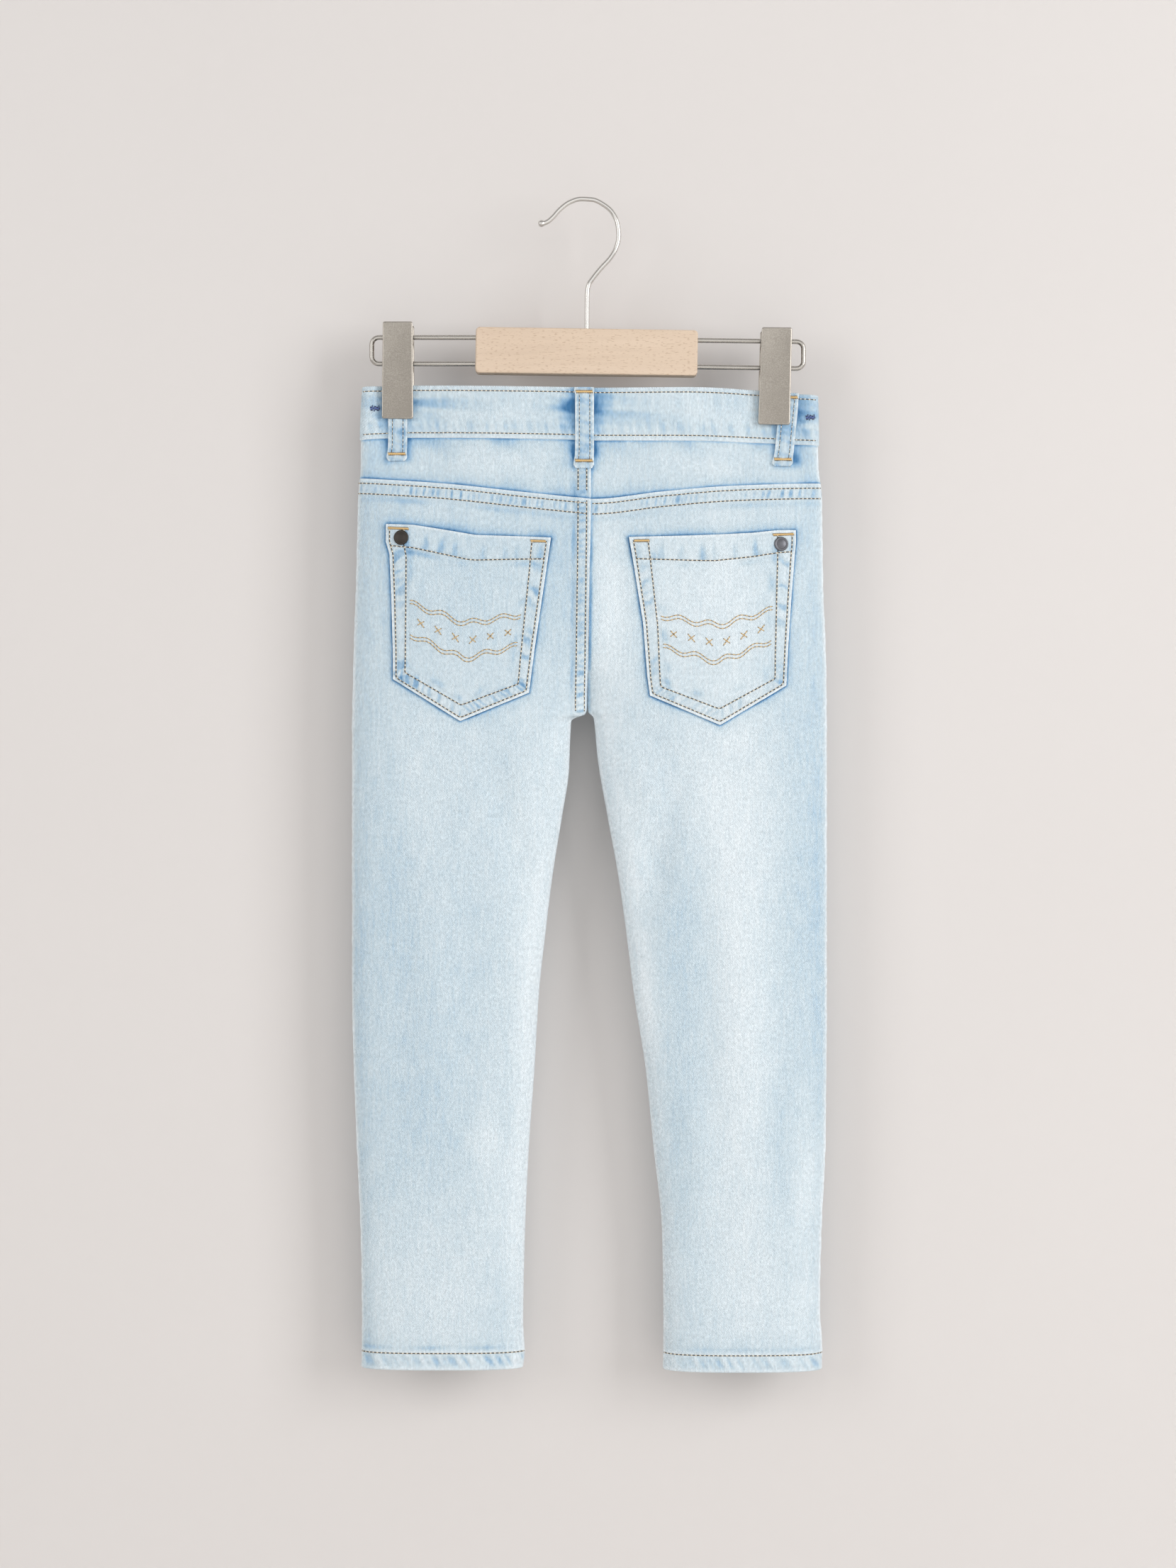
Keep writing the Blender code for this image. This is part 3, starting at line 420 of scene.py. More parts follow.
def line_distance(x, z, spots):
    """Distance from places to a line of spots, and how far along the nearest is."""
    best = np.full(np.shape(x), 1e9)
    along = np.zeros(np.shape(x))
    start = 0.0
    for (x0, z0), (x1, z1) in zip(spots, spots[1:]):
        length = math.hypot(x1 - x0, z1 - z0)
        t = ((x - x0) * (x1 - x0) + (z - z0) * (z1 - z0)) / length
        t = np.clip(t, 0.0, length)
        gap = np.hypot(x - x0 - t * (x1 - x0) / length, z - z0 - t * (z1 - z0) / length)
        nearer = gap < best
        best = np.where(nearer, gap, best)
        along = np.where(nearer, start + t, along)
        start += length
    return best, along


def pocket_outline(side):
    """The four edges of a back pocket as one line of spots, once round."""
    edges = POCKETS[side]
    return edges["outer"] + edges["point"][1:] + edges["inner"][::-1][1:] + edges["top"][::-1][1:]


def run_along(line):
    """How far along a line of (x, z) places each place lies."""
    return np.concatenate([[0.0], np.cumsum(np.hypot(*np.diff(line, axis=0).T))])


# Relief and wash of the panels, with some painted shade in the wash. Wash is 1 where the cloth is palest and
# 0 where it is bluest or most shaded.

# How far the rows of stitches lie inside the edges they follow
STITCH_ROWS = (2.7, 9.4)
CENTRE_ROWS = (2.3, 7.8)
SCOOP_ROWS = (2.2, 8.0)
HEM_ROW = 10.0


def added(relief, wash_and_shade, *extras):
    """Relief and wash with further pairs of them added."""
    for extra_relief, extra_wash in extras:
        relief = relief + extra_relief
        wash_and_shade = wash_and_shade + extra_wash
    return relief, wash_and_shade


def lap(distance, width=LAP_WIDTH):
    """The step of a felled seam at a distance inside its edge."""
    return LAP_RAISE * (1.0 - smooth(width - 1.2, width + 1.4, distance))


def sewn(distance, rows=STITCH_ROWS, deep=0.3):
    """Shallow grooves under rows of stitches."""
    total = np.zeros(np.shape(distance))
    for row in rows:
        total -= deep * bell(distance - row, 0.8)
    return total


FADES_AND_FOLD_SHADE = (
    # face, x, z, reach x, reach z, strength
    (BACK, -88.0, -385.0, 40.0, 62.0, 0.06),
    (BACK, 86.0, -380.0, 46.0, 60.0, 0.12),
    (BACK, 98.0, -520.0, 24.0, 170.0, 0.20),
    (BACK, 34.0, -430.0, 14.0, 80.0, 0.12),
    (BACK, 50.0, -540.0, 12.0, 70.0, 0.08),
    (BACK, -36.0, -440.0, 15.0, 120.0, 0.14),
    (BACK, -48.0, -640.0, 20.0, 90.0, 0.12),
    (BACK, -126.0, -420.0, 20.0, 120.0, -0.05),
    (BACK, -96.0, -560.0, 34.0, 80.0, -0.04),
    (BACK, 66.0, -500.0, 18.0, 90.0, -0.06),
    (BACK, 142.0, -440.0, 18.0, 130.0, -0.08),
    (BACK, 104.0, -700.0, 44.0, 60.0, 0.08),
    (BACK, -90.0, -700.0, 46.0, 70.0, 0.10),
    (BACK, -30.0, -540.0, 16.0, 110.0, 0.05),
    (BACK, 80.0, -255.0, 42.0, 50.0, 0.14),
    (BACK, 18.0, -255.0, 14.0, 60.0, 0.18),
    (BACK, -14.0, -235.0, 12.0, 60.0, -0.10),
    (BACK, -90.0, -255.0, 46.0, 60.0, -0.04),
    (BACK, -60.0, -168.0, 50.0, 14.0, 0.09),
    (BACK, 70.0, -168.0, 50.0, 14.0, 0.11),
    # painted highlights and shade of soft folds on the lower back legs
    (BACK, -63.0, -605.0, 8.0, 17.0, 0.13),
    (BACK, -49.5, -580.0, 7.0, 34.0, -0.05),
    (BACK, -100.0, -605.0, 22.0, 45.0, -0.06),
    (BACK, -55.5, -708.0, 13.0, 34.0, -0.09),
    (BACK, -124.0, -708.0, 18.0, 38.0, 0.05),
    (BACK, 144.0, -630.0, 13.0, 50.0, 0.13),
    (BACK, 142.0, -716.0, 16.0, 32.0, 0.12),
    (BACK, 126.0, -605.0, 9.0, 44.0, -0.08),
    (BACK, 58.0, -620.0, 11.0, 60.0, -0.06),
    (BACK, 40.0, -512.0, 6.0, 30.0, 0.16),
    (BACK, 57.0, -492.0, 9.0, 40.0, -0.05),
    (FRONT, -92.0, -400.0, 44.0, 110.0, 0.14),
    (FRONT, 92.0, -400.0, 46.0, 110.0, 0.14),
    (FRONT, -92.0, -560.0, 36.0, 90.0, 0.08),
    (FRONT, 98.0, -560.0, 36.0, 90.0, 0.08),
    (FRONT, -142.0, -440.0, 20.0, 200.0, -0.06),
    (FRONT, 150.0, -440.0, 20.0, 200.0, -0.06),
)
BASE_WASH = 0.72


def field_wash_and_shade(face, x, z):
    """Slow fades over a face, some of them painted highlights and shade of the legs' rounding and folds."""
    total = np.full(np.shape(x), BASE_WASH)
    for fade_face, fx, fz, rx, rz, strength in FADES_AND_FOLD_SHADE:
        if fade_face == face:
            off = ((x - fx) / rx) ** 2 + ((z - fz) / rz) ** 2
            total += strength * np.exp(-off)
    total += 0.02 * drift(5, 22.0, x, z * 0.5) + 0.02 * drift(6, 8.0, x, z * 0.3)
    return total


def edge_wash(u, join):
    """A worn line on the folds, a bluer strip beside it and a paler one along the inner leg."""
    fold = np.minimum(u, np.where(join > 0.5, 1.0, 1.0 - u))
    inner = 0.15 * (1.0 - join) * bell(0.955 - u, 0.05)
    return inner + 0.32 * bell(fold, 0.011) - 0.05 * bell(fold - 0.05, 0.035)


def centre_lap(face, side, x, z):
    """The felled centre seam: the left side laps over the right."""
    live = smooth(CROTCH_Z - 0.5, CROTCH_Z + 3.0, z)
    inside = centre_seam(z, 6.0) - x
    relief = np.zeros(np.shape(x))
    wash_and_shade = np.zeros(np.shape(x))
    if side == "left":
        waves = ripple(31 if face == BACK else 32, 3.5, z + 0.2 * inside + 0.4 * drift(37, 3.0, x, z))
        between = bump(4.8, 5.0, inside)
        low = smooth(-250.0, CROTCH_Z, z)
        strength = np.clip(0.6 + 0.4 * drift(36, 9.0, z) + 0.45 * low, 0.2, 1.2)
        relief = lap(inside, 9.0) + sewn(inside, CENTRE_ROWS) + 0.22 * waves * between
        wash_and_shade = between * (0.05 * pale_of(waves) - 0.40 * strength * blue_of(waves) - 0.05)
        wash_and_shade += 0.26 * bell(inside, 0.8)
        patches = 0.55 + 0.6 * drift(8, 6.0, z)
        wash_and_shade -= 0.36 * bell(inside - 10.4, 1.5) * np.clip(patches, 0.0, 1.0)
    else:
        # beside the lap's edge the right side is bluer, partly painted shade of the lap
        patches = 0.85 + 0.3 * drift(9, 7.0, z)
        wash_and_shade = -0.52 * bell(-inside - 0.7, 1.25) * patches
        wash_and_shade -= 0.10 * bell(-inside, 5.0) * patches
        relief = -0.15 * bell(-inside, 2.0)
    return relief * live, wash_and_shade * live


def pocket_halo(x, z):
    """Bluer cloth round the back pockets, where their edges stand up, with a painted shadow along the edges.
    """
    total = np.zeros(np.shape(x))
    relief = np.zeros(np.shape(x))
    for k, side in enumerate(("left", "right")):
        gap, along = line_distance(x, z, pocket_outline(side))
        patches = 0.9 + 0.3 * drift(11 + k, 7.0, along)
        # a dark line hugging the pocket edges: partly bluer cloth, partly painted shadow of the raised edge
        total -= 0.90 * bell(gap, 1.25) * patches
        total -= 0.15 * bell(gap, 5.0) * np.clip(patches, 0.3, 1.2)
        above, place_along = line_distance(x, z, POCKETS[side]["top"])
        total -= 0.16 * bell(above, 4.5) * np.clip(0.7 + drift(15 + k, 9.0, place_along), 0.2, 1.5)
        relief -= 0.25 * bell(gap, 3.0) * (0.7 + 0.3 * ripple(13 + k, 6.5, along))
        relief -= 0.45 * bell(gap, 0.9)
    return relief, total


def hem_relief(face, side, x, z):
    """The turned hem, roped on the bias, with its row of stitches."""
    up = z - HEM_Z[side]
    seed = 41 + 2 * (side == "right") + (face == FRONT)
    waves = ripple(seed, 6.2, x + 0.6 * up + 1.4 * drift(seed, 9.0, x) + 0.5 * drift(seed + 8, 2.0, x, z))
    body = smooth(HEM_HEIGHT + 0.9, HEM_HEIGHT - 0.4, up)
    band = bump(5.2, 6.0, up)
    relief = 0.5 * body + 0.42 * waves * band - 0.3 * bell(up - HEM_ROW, 0.8)
    relief -= 0.2 * bell(up - 13.0, 1.6)
    strength = np.clip(0.7 + 0.6 * drift(seed + 9, 11.0, x), 0.2, 1.2)
    wash_and_shade = band * (0.08 * pale_of(waves) - 0.27 * strength * blue_of(waves))
    wash_and_shade += 0.10 * bell(up, 1.2) + 0.10 * bell(up - 10.9, 0.5)
    patches = np.clip(0.6 + 0.5 * drift(seed, 7.0, x), 0.1, 1.2)
    wash_and_shade -= 0.20 * bell(up - 13.4, 1.7) * patches
    wash_and_shade -= 0.06 * bell(up - 17.0, 4.0) * patches
    return relief, wash_and_shade


def back_leg_relief(side, x, z):
    """All that the back leg adds to the bare form."""
    below = YOKE_SEAM("z", x) - z
    seed = 51 if side == "left" else 52
    waves = ripple(seed, 2.9, x + 0.15 * below + 0.3 * drift(seed + 6, 3.0, x, z))
    between = bump(6.0, 4.4, below)
    relief = lap(below) + sewn(below) + 0.24 * waves * between
    strength = np.clip(0.8 + 0.55 * drift(seed + 5, 8.0, x), 0.2, 1.4)
    wash_and_shade = between * strength * (0.08 * pale_of(waves) - 0.34 * smooth(0.1, -0.5, waves))
    wash_and_shade += 0.20 * bell(below, 0.9)
    patches = np.clip(0.5 + 0.6 * drift(seed, 12.0, x), 0.0, 1.2)
    wash_and_shade -= 0.24 * bell(below - 12.6, 2.0) * patches
    relief, wash_and_shade = added(
        relief, wash_and_shade, centre_lap(BACK, side, x, z), pocket_halo(x, z), hem_relief(BACK, side, x, z)
    )
    return relief, wash_and_shade + field_wash_and_shade(BACK, x, z)


def yoke_relief(side, x, z):
    """The yoke lies under the waistband and under the leg's lap."""
    above = z - YOKE_SEAM("z", x)
    below = BAND("bottom", x) - z
    patches = np.clip(0.8 + 0.35 * drift(61, 14.0, x), 0.3, 1.2)
    # bluer lines, partly painted shadow: beside the leg's lap edge above the yoke seam, and just under the
    # waistband's edge
    wash_and_shade = -0.74 * bell(above - 0.3, 1.2) * patches
    wash_and_shade -= 0.20 * bell(above, 6.0) * patches
    wash_and_shade -= 0.44 * bell(below - 0.2, 1.1) * patches
    wash_and_shade -= 0.15 * bell(below, 6.5) * np.clip(0.5 + 0.6 * drift(63, 9.0, x), 0.05, 1.4)
    wash_and_shade -= 0.12 * np.clip(drift(65, 6.0, x + 0.8 * z, 0.6 * z), 0.0, 1.0) * bell(below, 14.0)
    relief = -0.2 * bell(above, 3.0) - 0.3 * bell(above, 0.9)
    relief = relief + 0.12 * ripple(62, 9.0, x + 0.4 * z) * bell(below, 7.0)
    rough = np.clip(1.0 + 0.4 * drift(64, 3.0, x, z), 0.4, 1.5)
    # bluer cloth beside each back loop, partly painted shade of the loop standing off
    for _, face, x_top, x_low, drop in LOOPS:
        if face == BACK:
            off = np.maximum(np.abs(x - (x_top + x_low) / 2) - LOOP_WIDTH / 2, 0.0)
            end = float(band_edge(BACK, x_top, "top")) - drop
            low = smooth(end - 5.0, end + 3.0, z)
            wash_and_shade = wash_and_shade - 0.46 * bell(off, 3.0) * low * rough
            wash_and_shade = wash_and_shade - 0.14 * bell(off, 9.0) * low * rough
    relief, wash_and_shade = added(relief, wash_and_shade, centre_lap(BACK, side, x, z))
    return relief, wash_and_shade + field_wash_and_shade(BACK, x, z)


def front_leg_relief(side, x, z):
    """Front leg: the pocket opening's edge, the centre seam and the hem."""
    drop = band_edge(FRONT, x, "bottom") - z
    u = across(side, x, z)
    edge = drop - scoop(u)
    rows = smooth(0.5, 0.34, u)
    relief = rows * sewn(edge, SCOOP_ROWS)
    waves = ripple(71, 6.0, x + z)
    wash_and_shade = rows * bump(5.0, 5.0, edge) * (0.06 * pale_of(waves) - 0.28 * blue_of(waves))
    wash_and_shade = wash_and_shade + 0.22 * rows * bell(edge, 1.0)
    # a bluer line just under the waistband, partly painted shadow of the band's edge
    wash_and_shade = wash_and_shade - 0.3 * (1 - rows) * bell(drop, 1.6)
    relief, wash_and_shade = added(
        relief, wash_and_shade, centre_lap(FRONT, side, x, z), hem_relief(FRONT, side, x, z)
    )
    return relief, wash_and_shade + field_wash_and_shade(FRONT, x, z)


def scoop(u):
    """How far the front pocket opening lies below the waistband."""
    part = np.clip(np.asarray(u) / SCOOP_ACROSS, 0.0, 1.0)
    return SCOOP_DROP * (1.0 - part ** 2.4) ** 0.9


# Mesh making

def shade_smooth(mesh):
    mesh.polygons.foreach_set("use_smooth", np.ones(len(mesh.polygons), bool))


def in_scene(name, data):
    """A new object in the scene."""
    body = bpy.data.objects.new(name, data)
    bpy.context.scene.collection.objects.link(body)
    return body


def build(name, points, faces, material, wash_and_shade=None, weave=None):
    """A mesh object in metres, with the cloth's wash and painted shade, and its thread directions, on its
    points.
    """
    mesh = bpy.data.meshes.new(name)
    points = np.asarray(points, float).reshape(-1, 3) * MM
    faces = np.asarray(faces, np.int32)
    size = faces.shape[1]
    mesh.vertices.add(len(points))
    mesh.vertices.foreach_set("co", points.astype(np.float32).ravel())
    mesh.loops.add(faces.size)
    mesh.loops.foreach_set("vertex_index", faces.ravel())
    mesh.polygons.add(len(faces))
    mesh.polygons.foreach_set("loop_start", np.arange(0, faces.size, size, dtype=np.int32))
    mesh.update(calc_edges=True)
    mesh.validate()
    shade_smooth(mesh)
    if wash_and_shade is not None:
        layer = mesh.attributes.new("wash_and_shade", "FLOAT", "POINT")
        layer.data.foreach_set("value", np.clip(wash_and_shade, 0.0, 1.0).astype(np.float32).ravel())
    if weave is not None:
        layer = mesh.attributes.new("weave", "FLOAT_VECTOR", "POINT")
        flat = np.zeros((len(points), 3), np.float32)
        flat[:, :2] = np.asarray(weave, float).reshape(-1, 2) * MM
        layer.data.foreach_set("vector", flat.ravel())
    mesh.materials.append(material)
    return in_scene(name, mesh)


def dress(piece, node):
    """Put a piece in place of a CAD solid, on the one body."""
    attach(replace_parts(piece, node), "root")
    return piece


def grid_faces(rows, columns, flip, closed=False):
    """Quads of a grid of points, row by row; closed joins the last row to the first."""
    wrap = rows if closed else rows - 1
    j, i = np.meshgrid(np.arange(wrap), np.arange(columns - 1), indexing="ij")
    a = (j * columns + i).ravel()
    b = ((j + 1) % rows * columns + i).ravel()
    quads = np.stack([a, a + 1, b + 1, b], -1)
    return quads[:, ::-1] if flip else quads


def turn_edge(points, out, away, wall, round_by=0.45):
    """Rows of points that carry an edge round and back into the cloth."""
    rows = []
    for angle in (30.0, 60.0, 90.0):
        a = math.radians(angle)
        rows.append(points + away * round_by * math.sin(a) - out * round_by * (1 - math.cos(a)))
    rows.append(points + away * round_by * 0.8 - out * wall)
    return rows


def unit(vectors):
    return vectors / np.maximum(np.linalg.norm(vectors, axis=-1, keepdims=True), 1e-9)


def cloth_sheet(name, points, out, wash_and_shade, weave, material, flip, wall=CLOTH, edges="tblr"):
    """A grid of cloth with its edges turned in: t top, b bottom, l first column, r last."""
    shell = [np.asarray(points), np.asarray(out), np.asarray(wash_and_shade), np.asarray(weave)]
    ends = (("t", 0, True), ("b", 0, False), ("l", 1, True), ("r", 1, False))
    for letter, axis, first in ends:
        if letter not in edges:
            continue
        p, n, w, v = (np.moveaxis(part, axis, 0) for part in shell)
        edge, inner = (0, 1) if first else (-1, -2)
        away = unit(p[edge] - p[inner])
        rows = turn_edge(p[edge], n[edge], away, wall)
        pads = [np.stack(rows), np.stack([n[edge]] * len(rows)),
                np.stack([w[edge]] * len(rows)), np.stack([v[edge]] * len(rows))]
        joined = []
        for part, pad in zip((p, n, w, v), pads):
            both = (pad[::-1], part) if first else (part, pad)
            joined.append(np.moveaxis(np.concatenate(both), 0, axis))
        shell = joined
    faces = grid_faces(*shell[0].shape[:2], flip)
    return build(name, shell[0], faces, material, shell[2], shell[3])


def close_holes(piece):
    """Merge doubled points and cap the open ends."""
    work = bmesh.new()
    work.from_mesh(piece.data)
    bmesh.ops.remove_doubles(work, verts=work.verts, dist=1e-6)
    rim = [e for e in work.edges if e.is_boundary]
    bmesh.ops.holes_fill(work, edges=rim, sides=0)
    bmesh.ops.recalc_face_normals(work, faces=work.faces)
    work.to_mesh(piece.data)
    work.free()
    shade_smooth(piece.data)


def add_solid(name, node, shell, material, flip=False, closed=False, wash_and_shade=None, weave=None):
    """A solid with a skin of grid points and capped ends, in place of a CAD solid."""
    faces = grid_faces(*shell.shape[:2], flip, closed)
    piece = build(name, shell, faces, material, wash_and_shade, weave)
    close_holes(piece)
    return dress(piece, node)


def circle(sides):
    """Cosines and sines of even angles, once round."""
    angle = np.arange(sides) * 2.0 * math.pi / sides
    return np.cos(angle), np.sin(angle)


# Materials

class Nodes:
    """Short ways to add and join shader nodes."""

    def __init__(self, name, colour):
        self.material = bpy.data.materials.new(name)
        self.material.use_nodes = True
        self.material.diffuse_color = (*colour, 1.0)
        self.tree = self.material.node_tree
        self.shader = self.tree.nodes["Principled BSDF"]

    def add(self, kind, **values):
        """A node with its settings and the plain values of its inputs."""
        node = self.tree.nodes.new(kind)
        for key, value in values.items():
            if hasattr(node, key):
                setattr(node, key, value)
            else:
                node.inputs[key.replace("_", " ")].default_value = value
        return node

    def join(self, out, into):
        self.tree.links.new(out, into)

    def attribute(self, name, output="Fac"):
        return self.add("ShaderNodeAttribute", attribute_name=name).outputs[output]

    def object_place(self):
        return self.add("ShaderNodeTexCoord").outputs["Object"]

    def surface(self, colour, **values):
        """The surface's colour, from a node, and its plain values."""
        self.join(colour, self.shader.inputs["Base Color"])
        for key, value in values.items():
            self.shader.inputs[key.replace("_", " ")].default_value = value

    def math(self, operation, a, b):
        node = self.add("ShaderNodeMath", operation=operation)
        for socket, value in zip(node.inputs, (a, b)):
            if isinstance(value, (int, float)):
                socket.default_value = value
            else:
                self.join(value, socket)
        return node.outputs[0]

    def shares(self, *parts):
        """The sum of some values, each times its share."""
        total = None
        for value, share in parts:
            part = self.math("MULTIPLY", value, share)
            total = part if total is None else self.math("ADD", total, part)
        return total

    def ramp(self, factor, stops):
        node = self.add("ShaderNodeValToRGB")
        ramp = node.color_ramp
        while len(ramp.elements) < len(stops):
            ramp.elements.new(0.5)
        for element, (position, colour) in zip(ramp.elements, stops):
            element.position = position
            element.color = (*colour, 1.0)
        self.join(factor, node.inputs[0])
        return node.outputs[0]

    def noise(self, vector, scale, detail=2.0, roughness=0.5):
        node = self.add("ShaderNodeTexNoise", Scale=scale, Detail=detail, Roughness=roughness)
        self.join(vector, node.inputs["Vector"])
        return node.outputs["Fac"]

    def mapped(self, vector, scale=(1.0, 1.0, 1.0), turn=0.0):
        node = self.add("ShaderNodeMapping", Scale=scale, Rotation=(0.0, 0.0, turn))
        self.join(vector, node.inputs["Vector"])
        return node.outputs["Vector"]

    def bumped(self, height, strength, distance):
        node = self.add("ShaderNodeBump", Strength=strength, Distance=distance)
        self.join(height, node.inputs["Height"])
        self.join(node.outputs["Normal"], self.shader.inputs["Normal"])


TWILL_PITCH = 0.00085
TWILL_TURN = math.radians(56.0)


def denim_material(name, deep=1.0):
    """Bleached twill: blue warp under white weft, worn pale on what stands up, darker where its attribute
    carries painted shade.
    """
    m = Nodes(name, (0.6, 0.71, 0.78))
    weave = m.attribute("weave", "Vector")
    value = m.attribute("wash_and_shade")
    wave = m.add(
        "ShaderNodeTexWave", wave_type="BANDS", bands_direction="X", wave_profile="SIN",
        Scale=math.pi / (10.0 * TWILL_PITCH), Distortion=1.1, Detail=2.0, Detail_Scale=1.4,
    )
    m.join(m.mapped(weave, turn=TWILL_TURN), wave.inputs["Vector"])
    twill = wave.outputs["Fac"]
    slub = m.noise(m.mapped(weave, (1.0, 0.10, 1.0)), 620.0, 4.0, 0.7)
    fleck = m.noise(m.mapped(weave, (1.0, 0.7, 1.0)), 1500.0, 2.0, 0.65)
    cloud = m.noise(m.mapped(weave, (1.0, 0.45, 1.0)), 150.0, 4.0, 0.6)
    for part, strength in ((twill, 0.08), (slub, 0.42), (fleck, 0.26), (cloud, 0.20)):
        value = m.math("ADD", value, m.math("MULTIPLY", m.math("SUBTRACT", part, 0.5), strength))
    colour = m.ramp(value, (
        (0.0, (0.055, 0.19, 0.40)),
        (0.2, (0.195, 0.376, 0.60)),
        (0.45, (0.376, 0.558, 0.735)),
        (0.66, (0.582, 0.710, 0.795)),
        (0.82, (0.700, 0.803, 0.866)),
        (1.0, (0.830, 0.907, 0.955)),
    ))
    coarse = m.noise(m.mapped(weave, (1.0, 0.55, 1.0)), 660.0, 3.0, 0.8)
    dashes = m.noise(m.mapped(weave, (1.0, 0.35, 1.0), TWILL_TURN), 1500.0, 2.0, 0.7)
    pepper = m.shares((coarse, 0.55), (dashes, 0.45))
    grain = m.shares((pepper, 0.9), (twill, 0.10))
    shade = m.add("ShaderNodeMix", data_type="RGBA", blend_type="MULTIPLY", Factor=1.0)
    m.join(colour, shade.inputs[6])
    m.join(m.ramp(grain, ((0.36, (0.76, 0.76, 0.76)), (0.64, (1.14, 1.14, 1.14)))), shade.inputs[7])
    m.surface(
        shade.outputs[2], Roughness=0.92, Specular_IOR_Level=0.2, Sheen_Weight=0.12, Sheen_Roughness=0.5
    )
    m.bumped(m.shares((twill, 0.6), (slub, 0.7), (pepper, 0.8)), 0.45 * deep, 0.00025)
    return m.material


def thread_material(name, colour, dark, hole_shade):
    """Twisted sewing thread, with painted shade where it dips into its needle holes."""
    m = Nodes(name, colour)
    spot = m.object_place()
    tone = m.math("MULTIPLY", m.attribute("wash_and_shade"), m.math("ADD", m.noise(spot, 400.0, 3.0, 0.6), 0.5))
    m.surface(m.ramp(tone, ((0.05, hole_shade), (0.55, dark), (0.95, colour))), Roughness=0.6, Sheen_Weight=0.2)
    m.bumped(m.noise(m.mapped(spot, turn=0.8), 4200.0, 1.0), 0.5, 0.0001)
    return m.material


def metal_material(name, colour, dark, roughness, brushed):
    """Plated metal with fine brush marks and slight clouding, darkened where its attribute carries painted
    shade.
    """
    m = Nodes(name, colour)
    spot = m.object_place()
    brush = m.noise(spot, 1400.0, 3.0, 0.6)
    mixed = m.shares((brush, brushed), (m.noise(spot, 60.0, 3.0, 0.5), 1.0 - brushed))
    # the painted shade from the attribute darkens the metal
    mixed = m.math("SUBTRACT", mixed, m.math("MULTIPLY", m.attribute("wash_and_shade"), 0.34))
    m.surface(m.ramp(mixed, ((0.2, dark), (0.7, colour))), Metallic=1.0)
    rough = m.math("ADD", m.math("MULTIPLY", brush, 0.16), roughness - 0.08)
    m.join(rough, m.shader.inputs["Roughness"])
    m.bumped(brush, 0.12, 0.00006)
    return m.material


def beech_material():
    """Pale beech: faint grain along the bar with short dark flecks."""
    m = Nodes("beech", (0.74, 0.56, 0.40))
    spot = m.object_place()
    grain = m.noise(m.mapped(spot, (0.05, 1.0, 1.0)), 320.0, 4.0, 0.6)
    rings = m.noise(m.mapped(spot, (0.12, 1.0, 1.0)), 60.0, 3.0, 0.5)
    fleck = m.noise(m.mapped(spot, (0.28, 0.6, 1.0)), 1300.0, 1.0, 0.4)
    pale = m.ramp(m.shares((grain, 0.45), (rings, 0.55)), (
        (0.25, (0.655, 0.508, 0.388)), (0.5, (0.735, 0.585, 0.45)), (0.75, (0.785, 0.635, 0.498)),
    ))
    marks = m.ramp(fleck, ((0.58, (0.0, 0.0, 0.0)), (0.68, (1.0, 1.0, 1.0))))
    mix = m.add("ShaderNodeMix", data_type="RGBA")
    m.join(m.math("MULTIPLY", marks, 0.42), mix.inputs["Factor"])
    m.join(pale, mix.inputs[6])
    mix.inputs[7].default_value = (0.45, 0.29, 0.18, 1.0)
    m.surface(mix.outputs[2], Roughness=0.5, Specular_IOR_Level=0.35)
    m.bumped(m.math("SUBTRACT", grain, m.math("MULTIPLY", fleck, 0.6)), 0.15, 0.0002)
    return m.material


DENIM = denim_material("denim")
DENIM_INSIDE = denim_material("denim_facing", 0.8)
TAN = thread_material("thread_tan", (0.80, 0.71, 0.56), (0.36, 0.30, 0.22), (0.07, 0.055, 0.04))
GOLD = thread_material("thread_gold", (0.80, 0.55, 0.24), (0.70, 0.46, 0.19), (0.32, 0.20, 0.08))
BLUE = thread_material("thread_blue", (0.11, 0.17, 0.42), (0.06, 0.09, 0.25), (0.03, 0.04, 0.11))
CLIP_METAL = metal_material("clip_metal", (0.535, 0.494, 0.44), (0.305, 0.279, 0.245), 0.34, 0.75)
WIRE_METAL = metal_material("wire_metal", (0.55, 0.523, 0.482), (0.47, 0.445, 0.41), 0.28, 0.4)
HOOK_METAL = metal_material("hook_metal", (0.74, 0.72, 0.69), (0.64, 0.62, 0.59), 0.22, 0.4)
DARK_METAL = metal_material("rivet_dark", (0.085, 0.075, 0.066), (0.05, 0.045, 0.04), 0.5, 0.3)
PALE_METAL = metal_material("rivet_pale", (0.21, 0.215, 0.235), (0.10, 0.10, 0.11), 0.42, 0.3)
BEECH = beech_material()


# Stitches

SEWING = {"tan": [], "gold": [], "blue": []}
THREADS = {"tan": TAN, "gold": GOLD, "blue": BLUE}


def stitch_template():
    """One stitch along x, from end to end, and how free it is of the painted needle-hole shade."""
    # along, radius, lift and light of each ring
    half = ((-0.5, 0.95, -0.1, 0.0), (-0.26, 0.95, 0.0, 0.02), (-0.18, 1.0, 0.3, 1.0))
    rings = half + tuple((-along, *others) for along, *others in reversed(half))
    sides = 5
    points = []
    light = []
    faces = []
    for j, (along, radius, lift, bare) in enumerate(rings):
        for k in range(sides):
            angle = 2.0 * math.pi * k / sides
            points.append((along, radius * math.cos(angle), radius * math.sin(angle) + lift))
            light.append(bare)
            if j < len(rings) - 1:
                a = j * sides + k
                b = j * sides + (k + 1) % sides
                faces.append((a, a + sides, b + sides, b))
    return np.array(points), np.array(faces), np.array(light)


STITCH_POINTS, STITCH_FACES, STITCH_LIGHT = stitch_template()


